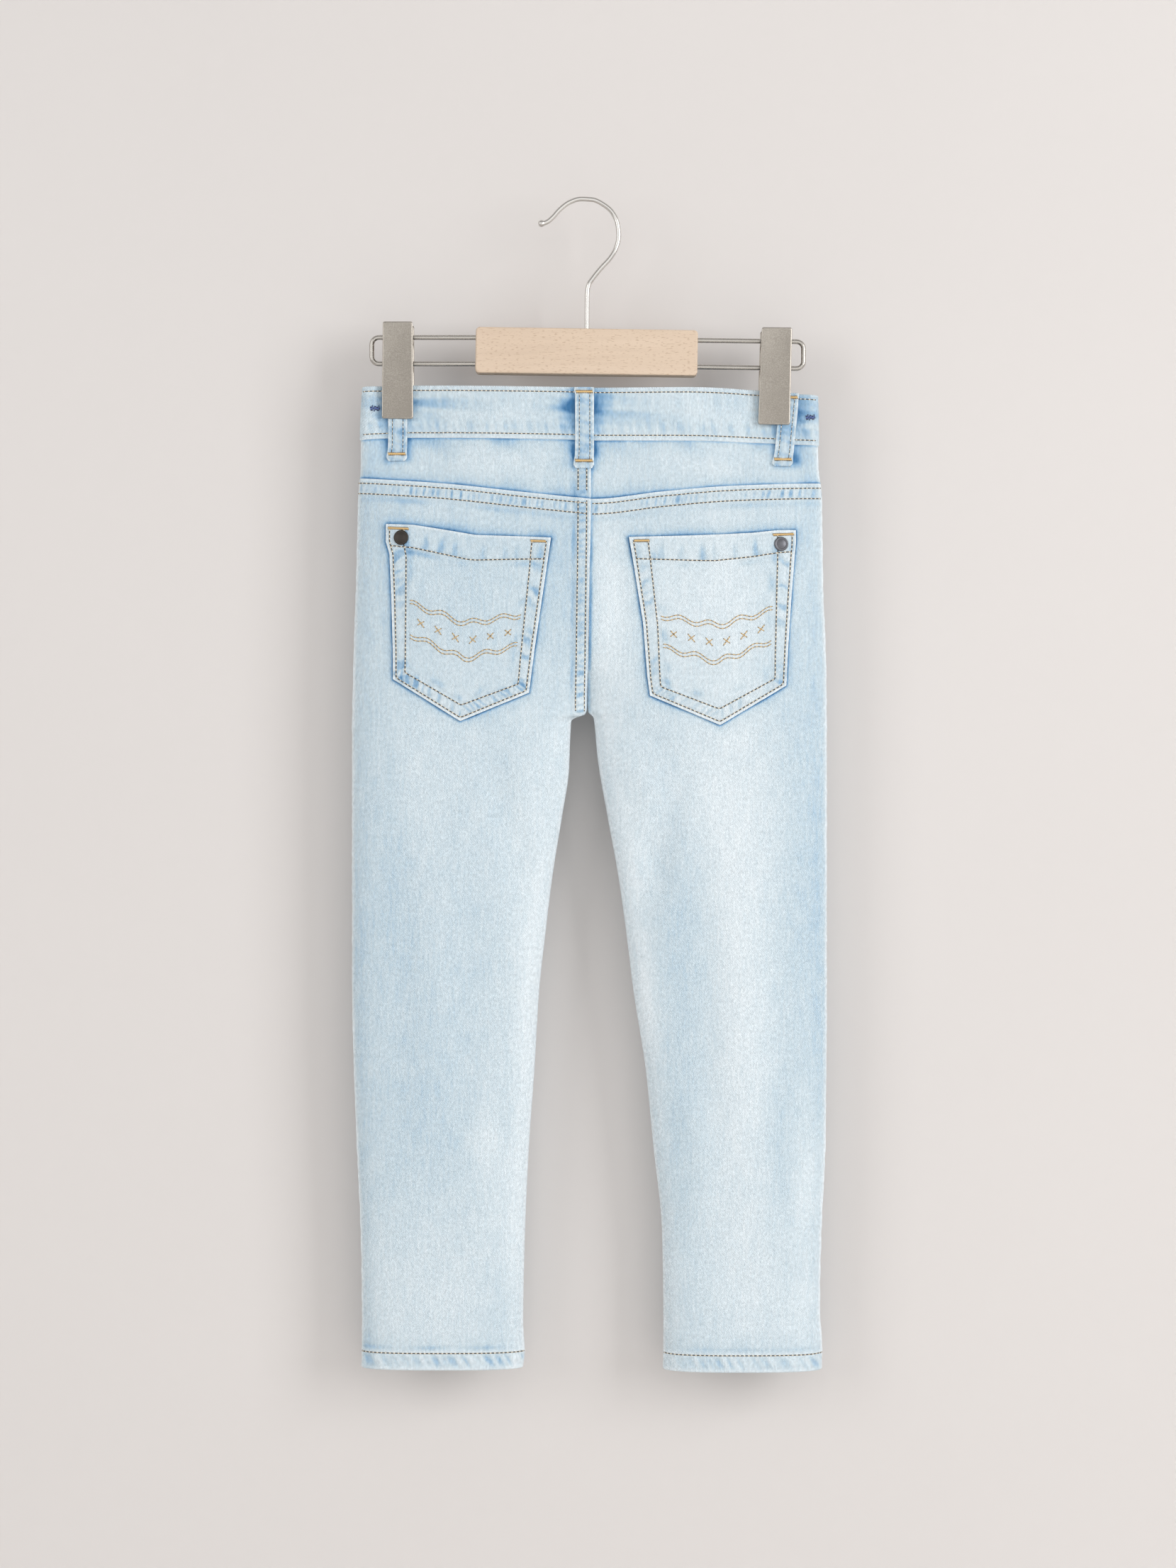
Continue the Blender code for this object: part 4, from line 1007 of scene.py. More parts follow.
def add_stitches(kind, middles, alongs, outs, length, radius, rise):
    """Lay one stitch at each middle, along its way, on the cloth's outside."""
    alongs = unit(alongs)
    beside = unit(np.cross(outs, alongs))
    up = np.cross(alongs, beside)
    t = STITCH_POINTS
    laid = (
        middles[:, None] + up[:, None] * rise
        + alongs[:, None] * t[None, :, :1] * length
        + beside[:, None] * t[None, :, 1:2] * radius
        + up[:, None] * t[None, :, 2:3] * radius
    )
    SEWING[kind].append(laid.reshape(-1, 3))


def sew(kind, points, outs, pitch=STITCH_PITCH, radius=THREAD, rise=0.1):
    """A row of stitches along a line of points on the cloth."""
    gaps = np.linalg.norm(np.diff(points, axis=0), axis=1)
    run = np.concatenate([[0.0], np.cumsum(gaps)])
    count = max(1, int(run[-1] / pitch))
    marks = (np.arange(count) + 0.5) * run[-1] / count
    half = STITCH_LENGTH * 0.45

    def at(where, values):
        return np.stack([np.interp(where, run, values[:, k]) for k in range(3)], -1)

    after = at(marks + half, points)
    before = at(marks - half, points)
    middles = (after + before) / 2
    add_stitches(kind, middles, after - before, unit(at(marks, outs)), STITCH_LENGTH, radius, rise)


def bar_tack(start, end, out, count, width):
    """Close gold stitches across the way between two places, leaning to and fro."""
    line = unit(end - start)
    beside = unit(np.cross(out, line))
    part = (np.arange(count) + 0.5)[:, None] / count
    slant = np.where(np.arange(count)[:, None] % 2, 0.35, -0.35)
    middles = start + (end - start) * part
    add_stitches("gold", middles, beside + line * slant, np.tile(out, (count, 1)), width, THREAD, 0.24)


def finish_sewing():
    """Join all the stitches of each thread into one piece."""
    ring = len(STITCH_POINTS)
    for kind, parts in SEWING.items():
        points = np.concatenate(parts)
        shifts = np.arange(0, len(points), ring)[:, None, None]
        faces = (STITCH_FACES[None] + shifts).reshape(-1, 4)
        light = np.tile(STITCH_LIGHT, len(points) // ring)
        piece = build(f"stitches_{kind}", points, faces, THREADS[kind], light)
        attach(piece, "root")


# Legs, yokes and facings

# Parts of a panel's width with closer columns, at the side fold and at the inner edge
FOLD_PART = 0.035
INNER_PART = 0.085
POCKET_COLUMNS = {"left": ((0.118, 0.188), (0.735, 0.855)), "right": ((0.108, 0.190), (0.735, 0.845))}
# Depths below the origin with closer rows, and how far apart rows lie elsewhere
POCKET_ROWS = ((208.0, 220.5), (306.0, 340.0))
EDGE_STEP = 0.65
SEAT_STEP = 1.7
SEAT_END = -345.0
LEG_STEP = 2.5
HEM_FINE = 17.0
# From how far below a leg's lowest top place its rows run level
BACK_NEAR = 16.0
FRONT_NEAR = 60.0
# How far the yokes and facings reach under their neighbours, and facings below the opening
TUCKED = 2.0
FACING_BELOW = 9.0


def merged(places, fine, step):
    """Places with those inside the fine ranges set closer together."""
    for low, high in fine:
        places = places[(places < low) | (places > high)]
        places = np.concatenate([places, np.arange(low, high, step)])
    return np.sort(places)


def place_columns(middle_step=1.7, fine=()):
    """Places across a panel, closer at both folds and at the centre seam."""
    first = FOLD_PART * (np.arange(10) / 10) ** 2
    last = 1.0 - INNER_PART * (np.arange(22)[::-1] / 21) ** 1.3
    count = int(145.0 / middle_step)
    places = np.concatenate([first, np.linspace(FOLD_PART, 1.0 - INNER_PART, count), last[1:]])
    return merged(places, fine, 0.0048)


def rows_between(top, low, count):
    """Heights of even rows from one edge down to another."""
    return top[None] + (low - top)[None] * np.linspace(0.0, 1.0, count)[:, None]


def place_rows(side, top, near):
    """Heights down one side's columns, given the top edge at each column."""
    hem = HEM_Z[side]
    start = np.min(top) - near
    first = rows_between(top, start, int(near / EDGE_STEP))
    seat = -np.linspace(start, SEAT_END, int((start - SEAT_END) / SEAT_STEP))[1:]
    if near == BACK_NEAR:
        seat = merged(seat, POCKET_ROWS, 0.85)
    seat = -seat[seat > 0.6 - start]
    hem_top = hem + HEM_FINE
    middle = np.concatenate([
        seat,
        np.linspace(SEAT_END, hem_top, int((SEAT_END - hem - HEM_FINE) / LEG_STEP))[1:],
        np.linspace(hem_top, hem, 26)[1:],
    ])
    return np.concatenate([first, np.repeat(middle[:, None], len(top), axis=1)])


def panel_points(side, face, u, z):
    """Bare points of a panel and the ways out, from places across and heights."""
    x = x_across(side, u, z)
    y = face * form(side, face, x, z)
    points = np.stack([x, y, z], -1)
    down = np.gradient(points, axis=0)
    along = np.gradient(points, axis=1)
    out = unit(np.cross(along, down))
    out *= np.sign(np.sum(out * np.array([0.0, face, 0.0]), -1, keepdims=True) + 1e-9)
    out[:, 0] = (OUT[side], 0.0, 0.0)
    join = smooth(CROTCH_Z, CROTCH_Z + CROTCH_FADE, z[:, -1])
    out[:, -1] = unit(np.stack([-OUT[side] * (1 - join), face * join, 0 * join], -1))
    return points, out


def weave_xz(face, points):
    """Thread directions of a panel that hangs straight, as seen from its outside."""
    return np.stack([-face * points[..., 0], points[..., 2]], -1)


def add_leg(word, side, face, u, top, relief_of, near, edges):
    """One leg panel with its seam edges turned in and its hem folded up inside."""
    z = place_rows(side, top, near)
    points, out = panel_points(side, face, u[None, :], z)
    relief, wash_and_shade = relief_of(side, points[..., 0], z)
    across_all = np.broadcast_to(u[None, :], z.shape)
    join = smooth(CROTCH_Z, CROTCH_Z + CROTCH_FADE, z)
    fold_free = smooth(0.0, 0.012, across_all)
    inner_free = np.maximum(smooth(0.0, 0.012, 1.0 - across_all), join)
    wash_and_shade = wash_and_shade + edge_wash(across_all, join)
    edge_waves = ripple(81, 8.0, z) * 0.18
    relief = relief * fold_free * inner_free + edge_waves * (1.0 - fold_free)
    points = points + out * relief[..., None]
    weave = weave_xz(face, points)
    fold = []
    edge = points[-1]
    for angle in (30.0, 60.0, 90.0, 120.0, 150.0, 180.0):
        a = math.radians(angle)
        down = np.array([0.0, 0.0, -1.0]) * math.sin(a) * HEM_DROP
        fold.append(edge + down - out[-1] * HEM_WALL / 2 * (1 - math.cos(a)))
    for up in (2.5, 6.0, 10.5):
        inside = edge - out[-1] * HEM_WALL
        fold.append(inside + np.array([0.0, 0.0, up]))
    fold = np.stack(fold)
    pad = len(fold)
    points = np.concatenate([points, fold])
    out = np.concatenate([out, np.repeat(out[-1:], pad, 0)])
    wash_and_shade = np.concatenate([wash_and_shade, np.repeat(wash_and_shade[-1:], pad, 0)])
    tail = np.repeat(weave[-1:], pad, 0)
    tail[..., 1] -= (np.arange(pad)[:, None] + 1) * 0.8
    weave = np.concatenate([weave, tail])
    flip = (side == "left") == (face == BACK)
    piece = cloth_sheet(f"cloth_{word}_{side}", points, out, wash_and_shade, weave, DENIM, flip, edges=edges)
    dress(piece, f"{word}_{side}")


def edge_heights(side, u, height_of):
    """Heights of an edge that is given by x, at places across."""
    z = np.full(u.shape, -170.0)
    for _ in range(5):
        z = height_of(x_across(side, u, z))
    return z


def yoke_line(side, u):
    return edge_heights(side, u, lambda x: YOKE_SEAM("z", x))


def front_band_line(side, u):
    return edge_heights(side, u, lambda x: band_edge(FRONT, x, "bottom"))


def add_legs():
    for side in ("left", "right"):
        u = place_columns(1.05, POCKET_COLUMNS[side])
        # the left side laps over at the centre seam, so that edge is turned in too
        edges = "tr" if side == "left" else "t"
        add_leg("back_leg", side, BACK, u, yoke_line(side, u), back_leg_relief, BACK_NEAR, edges)
        u = place_columns()
        top = front_band_line(side, u) - scoop(u)
        add_leg("front_leg", side, FRONT, u, top, front_leg_relief, FRONT_NEAR, "t")


def add_yokes():
    u = place_columns(1.3)
    for side in ("left", "right"):
        low = yoke_line(side, u) - TUCKED
        top = edge_heights(side, u, lambda x: BAND("bottom", x)) + TUCKED
        z = rows_between(top, low, 44)
        points, out = panel_points(side, BACK, u[None, :], z)
        relief, wash_and_shade = yoke_relief(side, points[..., 0], z)
        u_all = np.broadcast_to(u[None, :], z.shape)
        wash_and_shade = wash_and_shade + edge_wash(u_all, np.ones(z.shape))
        points = points + out * (relief * smooth(0.0, 0.02, u_all) - 0.12)[..., None]
        edges = "r" if side == "left" else ""
        piece = cloth_sheet(
            f"cloth_yoke_{side}", points, out, wash_and_shade, weave_xz(BACK, points), DENIM, side == "left",
            edges=edges,
        )
        dress(piece, f"back_yoke_{side}")


def add_facings():
    for side in ("left", "right"):
        u = 0.52 * (np.arange(46) / 45) ** 1.3
        top = front_band_line(side, u) + TUCKED
        low = top - TUCKED - scoop(u) - FACING_BELOW
        z = rows_between(top, low, 40)
        points, out = panel_points(side, FRONT, u[None, :], z)
        out[:, -1] = out[:, -2]
        edge = (z - low[None]) - FACING_BELOW
        # flush with the yoke along the side fold, but under the leg below the opening
        sunk = np.maximum(smooth(0.0, 0.05, u)[None, :], 1.0 - smooth(0.3, 3.0, edge))
        points = points - out * (0.1 + 1.4 * sunk)[..., None]
        wash_and_shade = field_wash_and_shade(FRONT, points[..., 0], z) - 0.06
        wash_and_shade = wash_and_shade - 0.34 * bell(edge, 2.6)
        piece = cloth_sheet(
            f"cloth_facing_{side}", points, out, wash_and_shade, weave_xz(FRONT, points), DENIM_INSIDE,
            side == "right", edges="",
        )
        dress(piece, f"front_facing_{side}")


# Waistband

BAND_HEIGHT = 34.0
BAND_MIDDLE_Z = -137.0
BAND_ROWS = (3.3, 31.0)


def band_path():
    """Face, x and depth in, round from the underlap to the overlap, a station a row."""
    step = 1.25
    seam = 3.9
    right_x = OUTLINE["right"]("outer", BAND_MIDDLE_Z)
    left_x = OUTLINE["left"]("outer", BAND_MIDDLE_Z)
    fold = 0.5 * (1.0 - np.cos(np.linspace(0.0, np.pi / 2, 9)))
    near = 6.0 * fold[1:] / fold[-1]
    right = np.concatenate([[right_x], right_x - near, np.arange(right_x - 7.0, seam, -step)])
    left = np.concatenate([[left_x], left_x + near, np.arange(left_x + 7.0, seam, step)])
    under = np.arange(UNDERLAP_X, seam, step)
    over = np.arange(seam, OVERLAP_X, step)
    runs = (
        (FRONT, under), (FRONT, right[::-1][:-1]), (BACK, right), (BACK, left[::-1][:-1]),
        (FRONT, left), (FRONT, over),
    )
    face = np.concatenate([np.full(len(run), run_face) for run_face, run in runs])
    x = np.concatenate([run for _, run in runs])
    first = np.arange(len(x)) < len(under) + len(right) - 1
    deep = np.where(first, (BAND_WALL + 0.5) * (1.0 - smooth(OVERLAP_X + 2, OVERLAP_X + 20, x)), 0.0)
    return face, x, deep


def band_section():
    """The waistband's cut section as (part down, part of the wall in), once round."""
    section = [(d, 0.0) for d in np.linspace(0.035, 0.965, 26)]
    section += [(0.985, 0.06), (0.998, 0.25), (1.0, 0.5), (0.998, 0.75), (0.985, 0.94)]
    section += [(d, 1.0) for d in np.linspace(0.9, 0.1, 7)]
    section += [(0.015, 0.94), (0.002, 0.75), (0.0, 0.5), (0.002, 0.25), (0.015, 0.06)]
    return np.array(section)


def band_relief(face, x, down):
    """Stitch grooves, small puckers and blue patches of the waistband."""
    from_top = down * BAND_HEIGHT
    from_low = (1.0 - down) * BAND_HEIGHT
    seed = 91 if face == BACK else 95
    relief = sewn(from_top, (3.3,), 0.28) + sewn(from_low, (3.0,), 0.28)
    waves = ripple(seed, 6.5, x + 1.2 * drift(seed, 20.0, x))
    low_waves = ripple(seed + 1, 5.4, x + 0.2 * from_low)
    relief += 0.10 * waves * bell(from_top, 5.0)
    relief += 0.16 * low_waves * bell(from_low - 5.5, 4.5)
    wash_and_shade = np.full(np.shape(x), BASE_WASH + 0.06)
    wash_and_shade += 0.04 * drift(seed + 2, 7.0, x, from_top * 1.2)
    wash_and_shade -= 0.20 * blue_of(low_waves) * bell(from_low - 8.0, 4.5)
    wash_and_shade -= 0.08 * blue_of(waves) * bell(from_top - 9.0, 5.0)
    wash_and_shade += 0.12 * bell(from_top, 1.0) + 0.16 * bell(from_low, 1.2)
    # under and beside each loop the cloth stays blue, and streaks of it run off to the right
    for name, loop_face, x_top, _, _ in LOOPS:
        if loop_face == face:
            off = np.maximum(np.abs(x - x_top) - LOOP_WIDTH / 2, 0.0)
            rough = drift(seed + 3, 1.7, from_top, x * 0.5)
            streaks = np.clip(1.4 * drift(seed + 4, 2.4, from_top, x * 0.16), 0.0, 1.0)
            centre = 0.8 if "right" in name else 1.0
            middle = bump(13.0, 17.0, from_top)
            reach = np.maximum(6.4 + 3.6 * rough, 1.8)
            core = 0.54 - 0.14 * smooth(x_top - 4.0, x_top + 4.0, x)
            wash_and_shade -= core * centre * (0.4 + 0.6 * middle) * bell(off, reach)
            wash_and_shade -= 0.34 * centre * streaks * middle * bell(off, 17.0)
            right = smooth(x_top, x_top + 12.0, x)
            far = np.clip(0.35 + 1.5 * drift(seed + 5, 2.6, from_top, x * 0.12), 0.0, 1.2)
            wash_and_shade -= 0.30 * centre * right * far * middle * bell(off, 38.0)
            wash_and_shade -= 0.10 * centre * bell(off, 22.0) * (0.6 + 0.4 * rough)
    return relief, wash_and_shade


def add_waistband():
    face, x, deep = band_path()
    section = band_section()
    down = section[:, 0][None, :]
    wall = section[:, 1][None, :]
    top, low = (
        np.where(face == BACK, band_edge(BACK, x, name), band_edge(FRONT, x, name))[:, None]
        for name in ("top", "bottom")
    )
    z = top + (low - 0.4 - top) * down
    xs = np.broadcast_to(x[:, None], z.shape)
    for side in ("left", "right"):
        base = float(OUTLINE[side]("outer", BAND_MIDDLE_Z))
        near_fold = bell(xs - base, 12.0)
        xs = xs + (OUTLINE[side]("outer", z) - base) * near_fold
    back_points, back_out = place_xz(BACK, xs, z)
    front_points, front_out = place_xz(FRONT, xs, z)
    pick = (face == BACK)[:, None, None]
    points = np.where(pick, back_points, front_points)
    out = np.where(pick, back_out, front_out)
    at_fold = np.abs(points[..., 1]) < 0.05
    out[at_fold] = np.stack([np.sign(xs[at_fold]), 0 * xs[at_fold], 0 * xs[at_fold]], -1)
    out[..., 2] = 0.0
    out = unit(out)
    relief = np.zeros(z.shape)
    wash_and_shade = np.zeros(z.shape)
    for which in (BACK, FRONT):
        rows = face == which
        relief[rows], wash_and_shade[rows] = band_relief(which, xs[rows], np.broadcast_to(down, z.shape)[rows])
    relief = relief * (wall < 0.3)
    inward = BAND_RAISE + relief - deep[:, None] - wall * BAND_WALL
    points = points + out * inward[..., None]
    run = np.concatenate([[0.0], np.cumsum(np.hypot(np.diff(x), np.diff(face * 2.0)))])
    weave = np.stack(np.broadcast_arrays(run[:, None], -BAND_HEIGHT * down - 3.0 * wall), -1)
    points, wash_and_shade, weave = (
        np.concatenate([part, part[:, :1]], axis=1) for part in (points, wash_and_shade, weave)
    )
    piece = add_solid("cloth_waistband", "waistband", points, DENIM, wash_and_shade=wash_and_shade, weave=weave)


def sew_band():
    """Two rows round the outside of the waistband."""
    for face, start, end in ((BACK, -141.5, 149.0), (FRONT, -141.0, OVERLAP_X - 2), (FRONT, 14.5, 149.0)):
        x = np.arange(start, end, LINE_STEP)
        for down in BAND_ROWS:
            top = band_edge(face, x, "top")
            z = top - down * (top - band_edge(face, x, "bottom")) / BAND_HEIGHT
            points, out = place_xz(face, x, z)
            out[:, 2] = 0.0
            out = unit(out)
            relief, _ = band_relief(face, x, np.full(x.shape, down / BAND_HEIGHT))
            sew("tan", points + out * (BAND_RAISE + relief)[:, None], out)


# Belt loops

def add_loops():
    for name, face, x_top, x_low, drop in LOOPS:
        top = float(band_edge(face, x_top, "top")) - 0.4
        seam = float(band_edge(face, x_top, "bottom"))
        t = np.linspace(0.0, 1.0, 60)
        width = LOOP_WIDTH / 2 - 0.45 + 0.5 * bump(0.0, 0.09, t) + 0.55 * bump(0.98, 0.14, t)
        width -= 1.1 * bump(1.0, 0.035, t) + 0.4 * bump(0.0, 0.02, t)
        s = np.linspace(-1.0, 1.0, 21)[None, :]
        ear = -0.5 * bump(0.98, 0.2, t) - 0.25 * bump(0.0, 0.1, t)
        middle = (x_top + (x_low - x_top) * t + ear)[:, None]
        x = middle + width[:, None] * s
        z = np.broadcast_to((top - t * drop)[:, None], x.shape)
        points, out = place_xz(face, x, z)
        lift = 0.2 + BAND_RAISE * smooth(seam - 4.0, seam + 1.5, z)
        lift = lift + 0.7 * bump((top + seam) / 2, 16.0, z) + 0.3
        seed = 100 + len(name) + int(abs(x_top))
        waves = ripple(seed, 4.6, z + 0.3 * x)
        off = np.abs(x - middle)
        relief = 0.35 * bell(off, 2.6) - 0.22 * bell(off - LOOP_ROW, 0.7)
        relief += 0.10 * waves - 0.3 * bell(t[:, None] - 0.93, 0.02)
        points = points + out * (lift + LOOP_WALL * 0.75 + relief)[..., None]
        wash_and_shade = BASE_WASH - 0.02 - 0.14 * blue_of(waves) - 0.14 * bell(off - LOOP_ROW, 1.2)
        wash_and_shade = wash_and_shade + 0.22 * bell(np.abs(s) - 1.0, 0.12)
        wash_and_shade = wash_and_shade - 0.20 * np.clip(drift(seed, 3.0, x, z), 0.0, 1.0)
        piece = cloth_sheet(
            f"cloth_{name}", points, out, wash_and_shade, np.stack([-face * x, z], -1), DENIM, face == FRONT,
            wall=LOOP_WALL * 0.75 + 0.5,
        )
        dress(piece, name)
        for column in (4, 16):
            sew("tan", points[3:-4, column], out[3:-4, column], rise=0.0, radius=0.26)
        for row in (3, 54):
            bar_tack(points[row, 1], points[row, 19], out[row, 10], 19, 2.2)


# Back pockets and fly

def on_line(spots, part, equal=False):
    """Places along a line of spots, by length or by equal shares."""
    spots = np.array(spots, float)
    lengths = np.ones(len(spots) - 1) if equal else np.hypot(*np.diff(spots, axis=0).T)
    run = np.concatenate([[0.0], np.cumsum(lengths)]) / np.sum(lengths)
    return np.stack([np.interp(part, run, spots[:, k]) for k in range(2)], -1)


def patch(edges, names, s, t, equal):
    """Places inside four edges: s runs along the first two, t along the others."""
    first, second, start, end = (edges[name] for name in names)
    s, t = np.broadcast_arrays(np.asarray(s, float), np.asarray(t, float))
    a = on_line(first, s)
    b = on_line(second, s, equal)
    c = on_line(start, t)
    d = on_line(end, t)
    s = s[..., None]
    t = t[..., None]
    corners = (1 - s) * ((1 - t) * np.array(first[0]) + t * np.array(second[0]))
    corners = corners + s * ((1 - t) * np.array(first[-1]) + t * np.array(second[-1]))
    return (1 - t) * a + t * b + (1 - s) * c + s * d - corners


# Depth of the turned hem, and insets and lower corners of the two rows of stitches, as parts
POCKET_HEM = 0.135
INSET_OUTER = 0.020
INSET_INNER = 0.108
POINT_OUTER = 0.983
POINT_INNER = 0.918


def pocket_surface(side, s, t):
    """Points on a back pocket, ways out and wash with some painted shadow, at places across and down."""
    edges = POCKETS[side]
    spots = patch(edges, ("top", "point", "outer", "inner"), s, t, True)
    x = spots[..., 0]
    z = spots[..., 1]
    points, out = place_xz(BACK, x, z)
    seed = 121 if side == "left" else 141
    rise = np.full(x.shape, POCKET_RAISE)
    wash_and_shade = field_wash_and_shade(BACK, x, z) + 0.02
    hem = np.asarray(t) / POCKET_HEM
    below_hem = smooth(1.0, 1.15, hem)
    for k, (name, pitch) in enumerate((("outer", 7.6), ("inner", 8.2), ("point", 3.4))):
        gap, along = line_distance(x, z, edges[name])
        wobble = drift(seed + 20, 1.6, x, z) + 1.6 * drift(seed + 24, 5.0, gap, along)
        waves = ripple(seed + k, pitch, along + 0.45 * gap + (0.5 if name == "point" else 1.0) * wobble)
        inside = smooth(1.4, 3.2, gap) * smooth(11.4, 6.0, gap)
        rise = rise + sewn(gap, (2.0, 10.2), 0.26) + 0.24 * waves * bump(5.6, 5.4, gap)
        patches = np.clip(0.7 + 0.75 * drift(seed + 3 + k, 6.0, along), 0.1, 1.3)
        wash_and_shade = wash_and_shade + inside * below_hem * (0.04 * pale_of(waves) - 0.34 * blue_of(waves) * patches)
        wash_and_shade = wash_and_shade + 0.24 * bell(gap, 0.8)
        spill = np.clip(drift(seed + 13 + k, 5.0, along, gap), 0.0, 1.0)
        wash_and_shade = wash_and_shade - 0.24 * spill * bell(gap - 12.6, 2.4)
    gap, along = line_distance(x, z, edges["top"])
    marks = wedges(seed + 9, 12.5, along + 0.5 * drift(seed + 21, 2.0, x, z), 0.9 + 1.5 * hem)
    rise = rise + 0.5 * (1 - smooth(0.98, 1.08, hem)) - 0.24 * marks * bump(0.52, 0.58, hem)
    rise = rise - 0.25 * bell(hem - 0.97, 0.05)
    wash_and_shade = wash_and_shade - 0.34 * marks * smooth(0.06, 0.75, hem) * smooth(1.06, 0.94, hem)
    wash_and_shade = wash_and_shade + 0.22 * bell(gap, 0.9)
    # a painted shadow band just below the turned top hem
    spill = np.clip(0.35 + 0.8 * drift(seed, 6.0, along), 0.0, 1.1)
    wash_and_shade = wash_and_shade - 0.26 * spill * bell(hem - 1.22, 0.14)
    swell = np.sin(np.pi * np.clip(s, 0, 1)) * np.sin(np.pi * np.clip((t - 0.15) / 0.75, 0, 1))
    rise = rise + 0.7 * swell + 0.16 * drift(seed + 12, 16.0, x, z)
    return points + out * rise[..., None], out, wash_and_shade, np.stack([x, z], -1)


def sew_on_pocket(side, kind, s, t, **how):
    """A row of stitches through places across and down a pocket."""
    points, out, _, _ = pocket_surface(side, s, t)
    sew(kind, points, out, **how)


def sew_pocket_line(side, corners):
    """A tan row along straight lines between (s, t) corners on a pocket."""
    corners = np.array(corners, float)
    run = run_along(corners)
    fine = np.linspace(0.0, run[-1], 260)
    sew_on_pocket(side, "tan", *(np.interp(fine, run, corners[:, k]) for k in range(2)))


def pocket_design(side):
    """A plain gold ornament: two pairs of ripple rows with small crosses between them."""
    s = np.linspace(INSET_INNER + 0.015, 1.0 - INSET_INNER - 0.015, 240)
    for level, phase in ((0.47, 0.0), (0.49, 0.0), (0.66, math.pi), (0.68, math.pi)):
        t = level + 0.014 * np.sin(2.0 * math.pi * 5.0 * s + phase)
        sew_on_pocket(side, "gold", s, t, radius=0.3)
    for k in range(6):
        middle = 0.2 + 0.12 * k
        for lean in (-1.0, 1.0):
            s_cross = np.linspace(middle - 0.022, middle + 0.022, 9)
            t_cross = 0.575 + lean * np.linspace(-0.018, 0.018, 9)
            sew_on_pocket(side, "gold", s_cross, t_cross, pitch=2.2, radius=0.32)


def spaced(low, high, counts):
    """Places from 0 to 1 with their own counts below low, from low to high and above high."""
    below, middle, above = counts
    return np.concatenate([
        np.linspace(0.0, low, below)[:-1], np.linspace(low, high, middle), np.linspace(high, 1.0, above)[1:],
    ])


def add_pockets():
    s = spaced(0.12, 0.88, (20, 96, 20))
    t = spaced(0.17, 0.86, (34, 72, 30))
    for side in ("left", "right"):
        points, out, wash_and_shade, weave = pocket_surface(side, s[None, :], t[:, None])
        piece = cloth_sheet(
            f"cloth_pocket_{side}", points, out, wash_and_shade, weave, DENIM, side == "left",
            wall=POCKET_RAISE + 0.3,
        )
        dress(piece, f"back_pocket_{side}")
        # inset and start at the top, inset and depth at the lower corners, depth at the point
        for inset, start, low_inset, low, point in (
            (INSET_OUTER, 0.02, INSET_OUTER, POINT_OUTER, POINT_OUTER + 0.0018),
            (INSET_INNER, POCKET_HEM * 0.12, INSET_INNER - 0.022, POINT_INNER, POINT_INNER),
        ):
            sew_pocket_line(side, (
                (inset, start), (low_inset, low), (0.5, point), (1 - low_inset, low), (1 - inset, start),
            ))
        sew_pocket_line(side, ((INSET_OUTER, POCKET_HEM), (1 - INSET_OUTER, POCKET_HEM)))
        pocket_design(side)
        for start, end in ((0.012, 0.135), (0.885, 0.975)):
            ends, out, _, _ = pocket_surface(side, np.array([start, end]), np.array([0.022, 0.022]))
            bar_tack(ends[0], ends[1], out[0], int(24 * (end - start) / 0.1), 1.7)


def add_fly():
    s = np.linspace(0.0, 1.0, 34)
    t = np.linspace(0.0, 1.0, 56)
    spots = patch(FLY, ("top", "bottom", "left", "right"), s[None, :], t[:, None], False)
    x = spots[..., 0]
    z = band_edge(FRONT, x, "bottom") + spots[..., 1]
    points, out = place_xz(FRONT, x, z)
    waves = ripple(171, 7.0, z)
    points = points + out * (1.3 + 0.14 * waves)[..., None]
    wash_and_shade = field_wash_and_shade(FRONT, x, z) + 0.08 * waves
    wash_and_shade = wash_and_shade + 0.26 * bell(s[None, :] - 1.0, 0.03)
    piece = cloth_sheet(
        "cloth_fly", points, out, wash_and_shade, np.stack([-x, z], -1), DENIM, True, wall=1.5, edges="blr"
    )
    dress(piece, "fly")
    for inset in (1, 6):
        row = t.size - 2 - inset
        line = np.concatenate([points[:row, inset], points[row, inset:-2]])
        ways = np.concatenate([out[:row, inset], out[row, inset:-2]])
        sew("tan", line, ways)
    sew("tan", points[:, -3], out[:, -3])


# Seams sewn on the panels

def sew_panel(side, face, x, z, relief_of):
    """A tan row of stitches on a panel."""
    points, out = place(side, face, x, z)
    relief, _ = relief_of(side, x, z)
    sew("tan", points + out * relief[:, None], out)


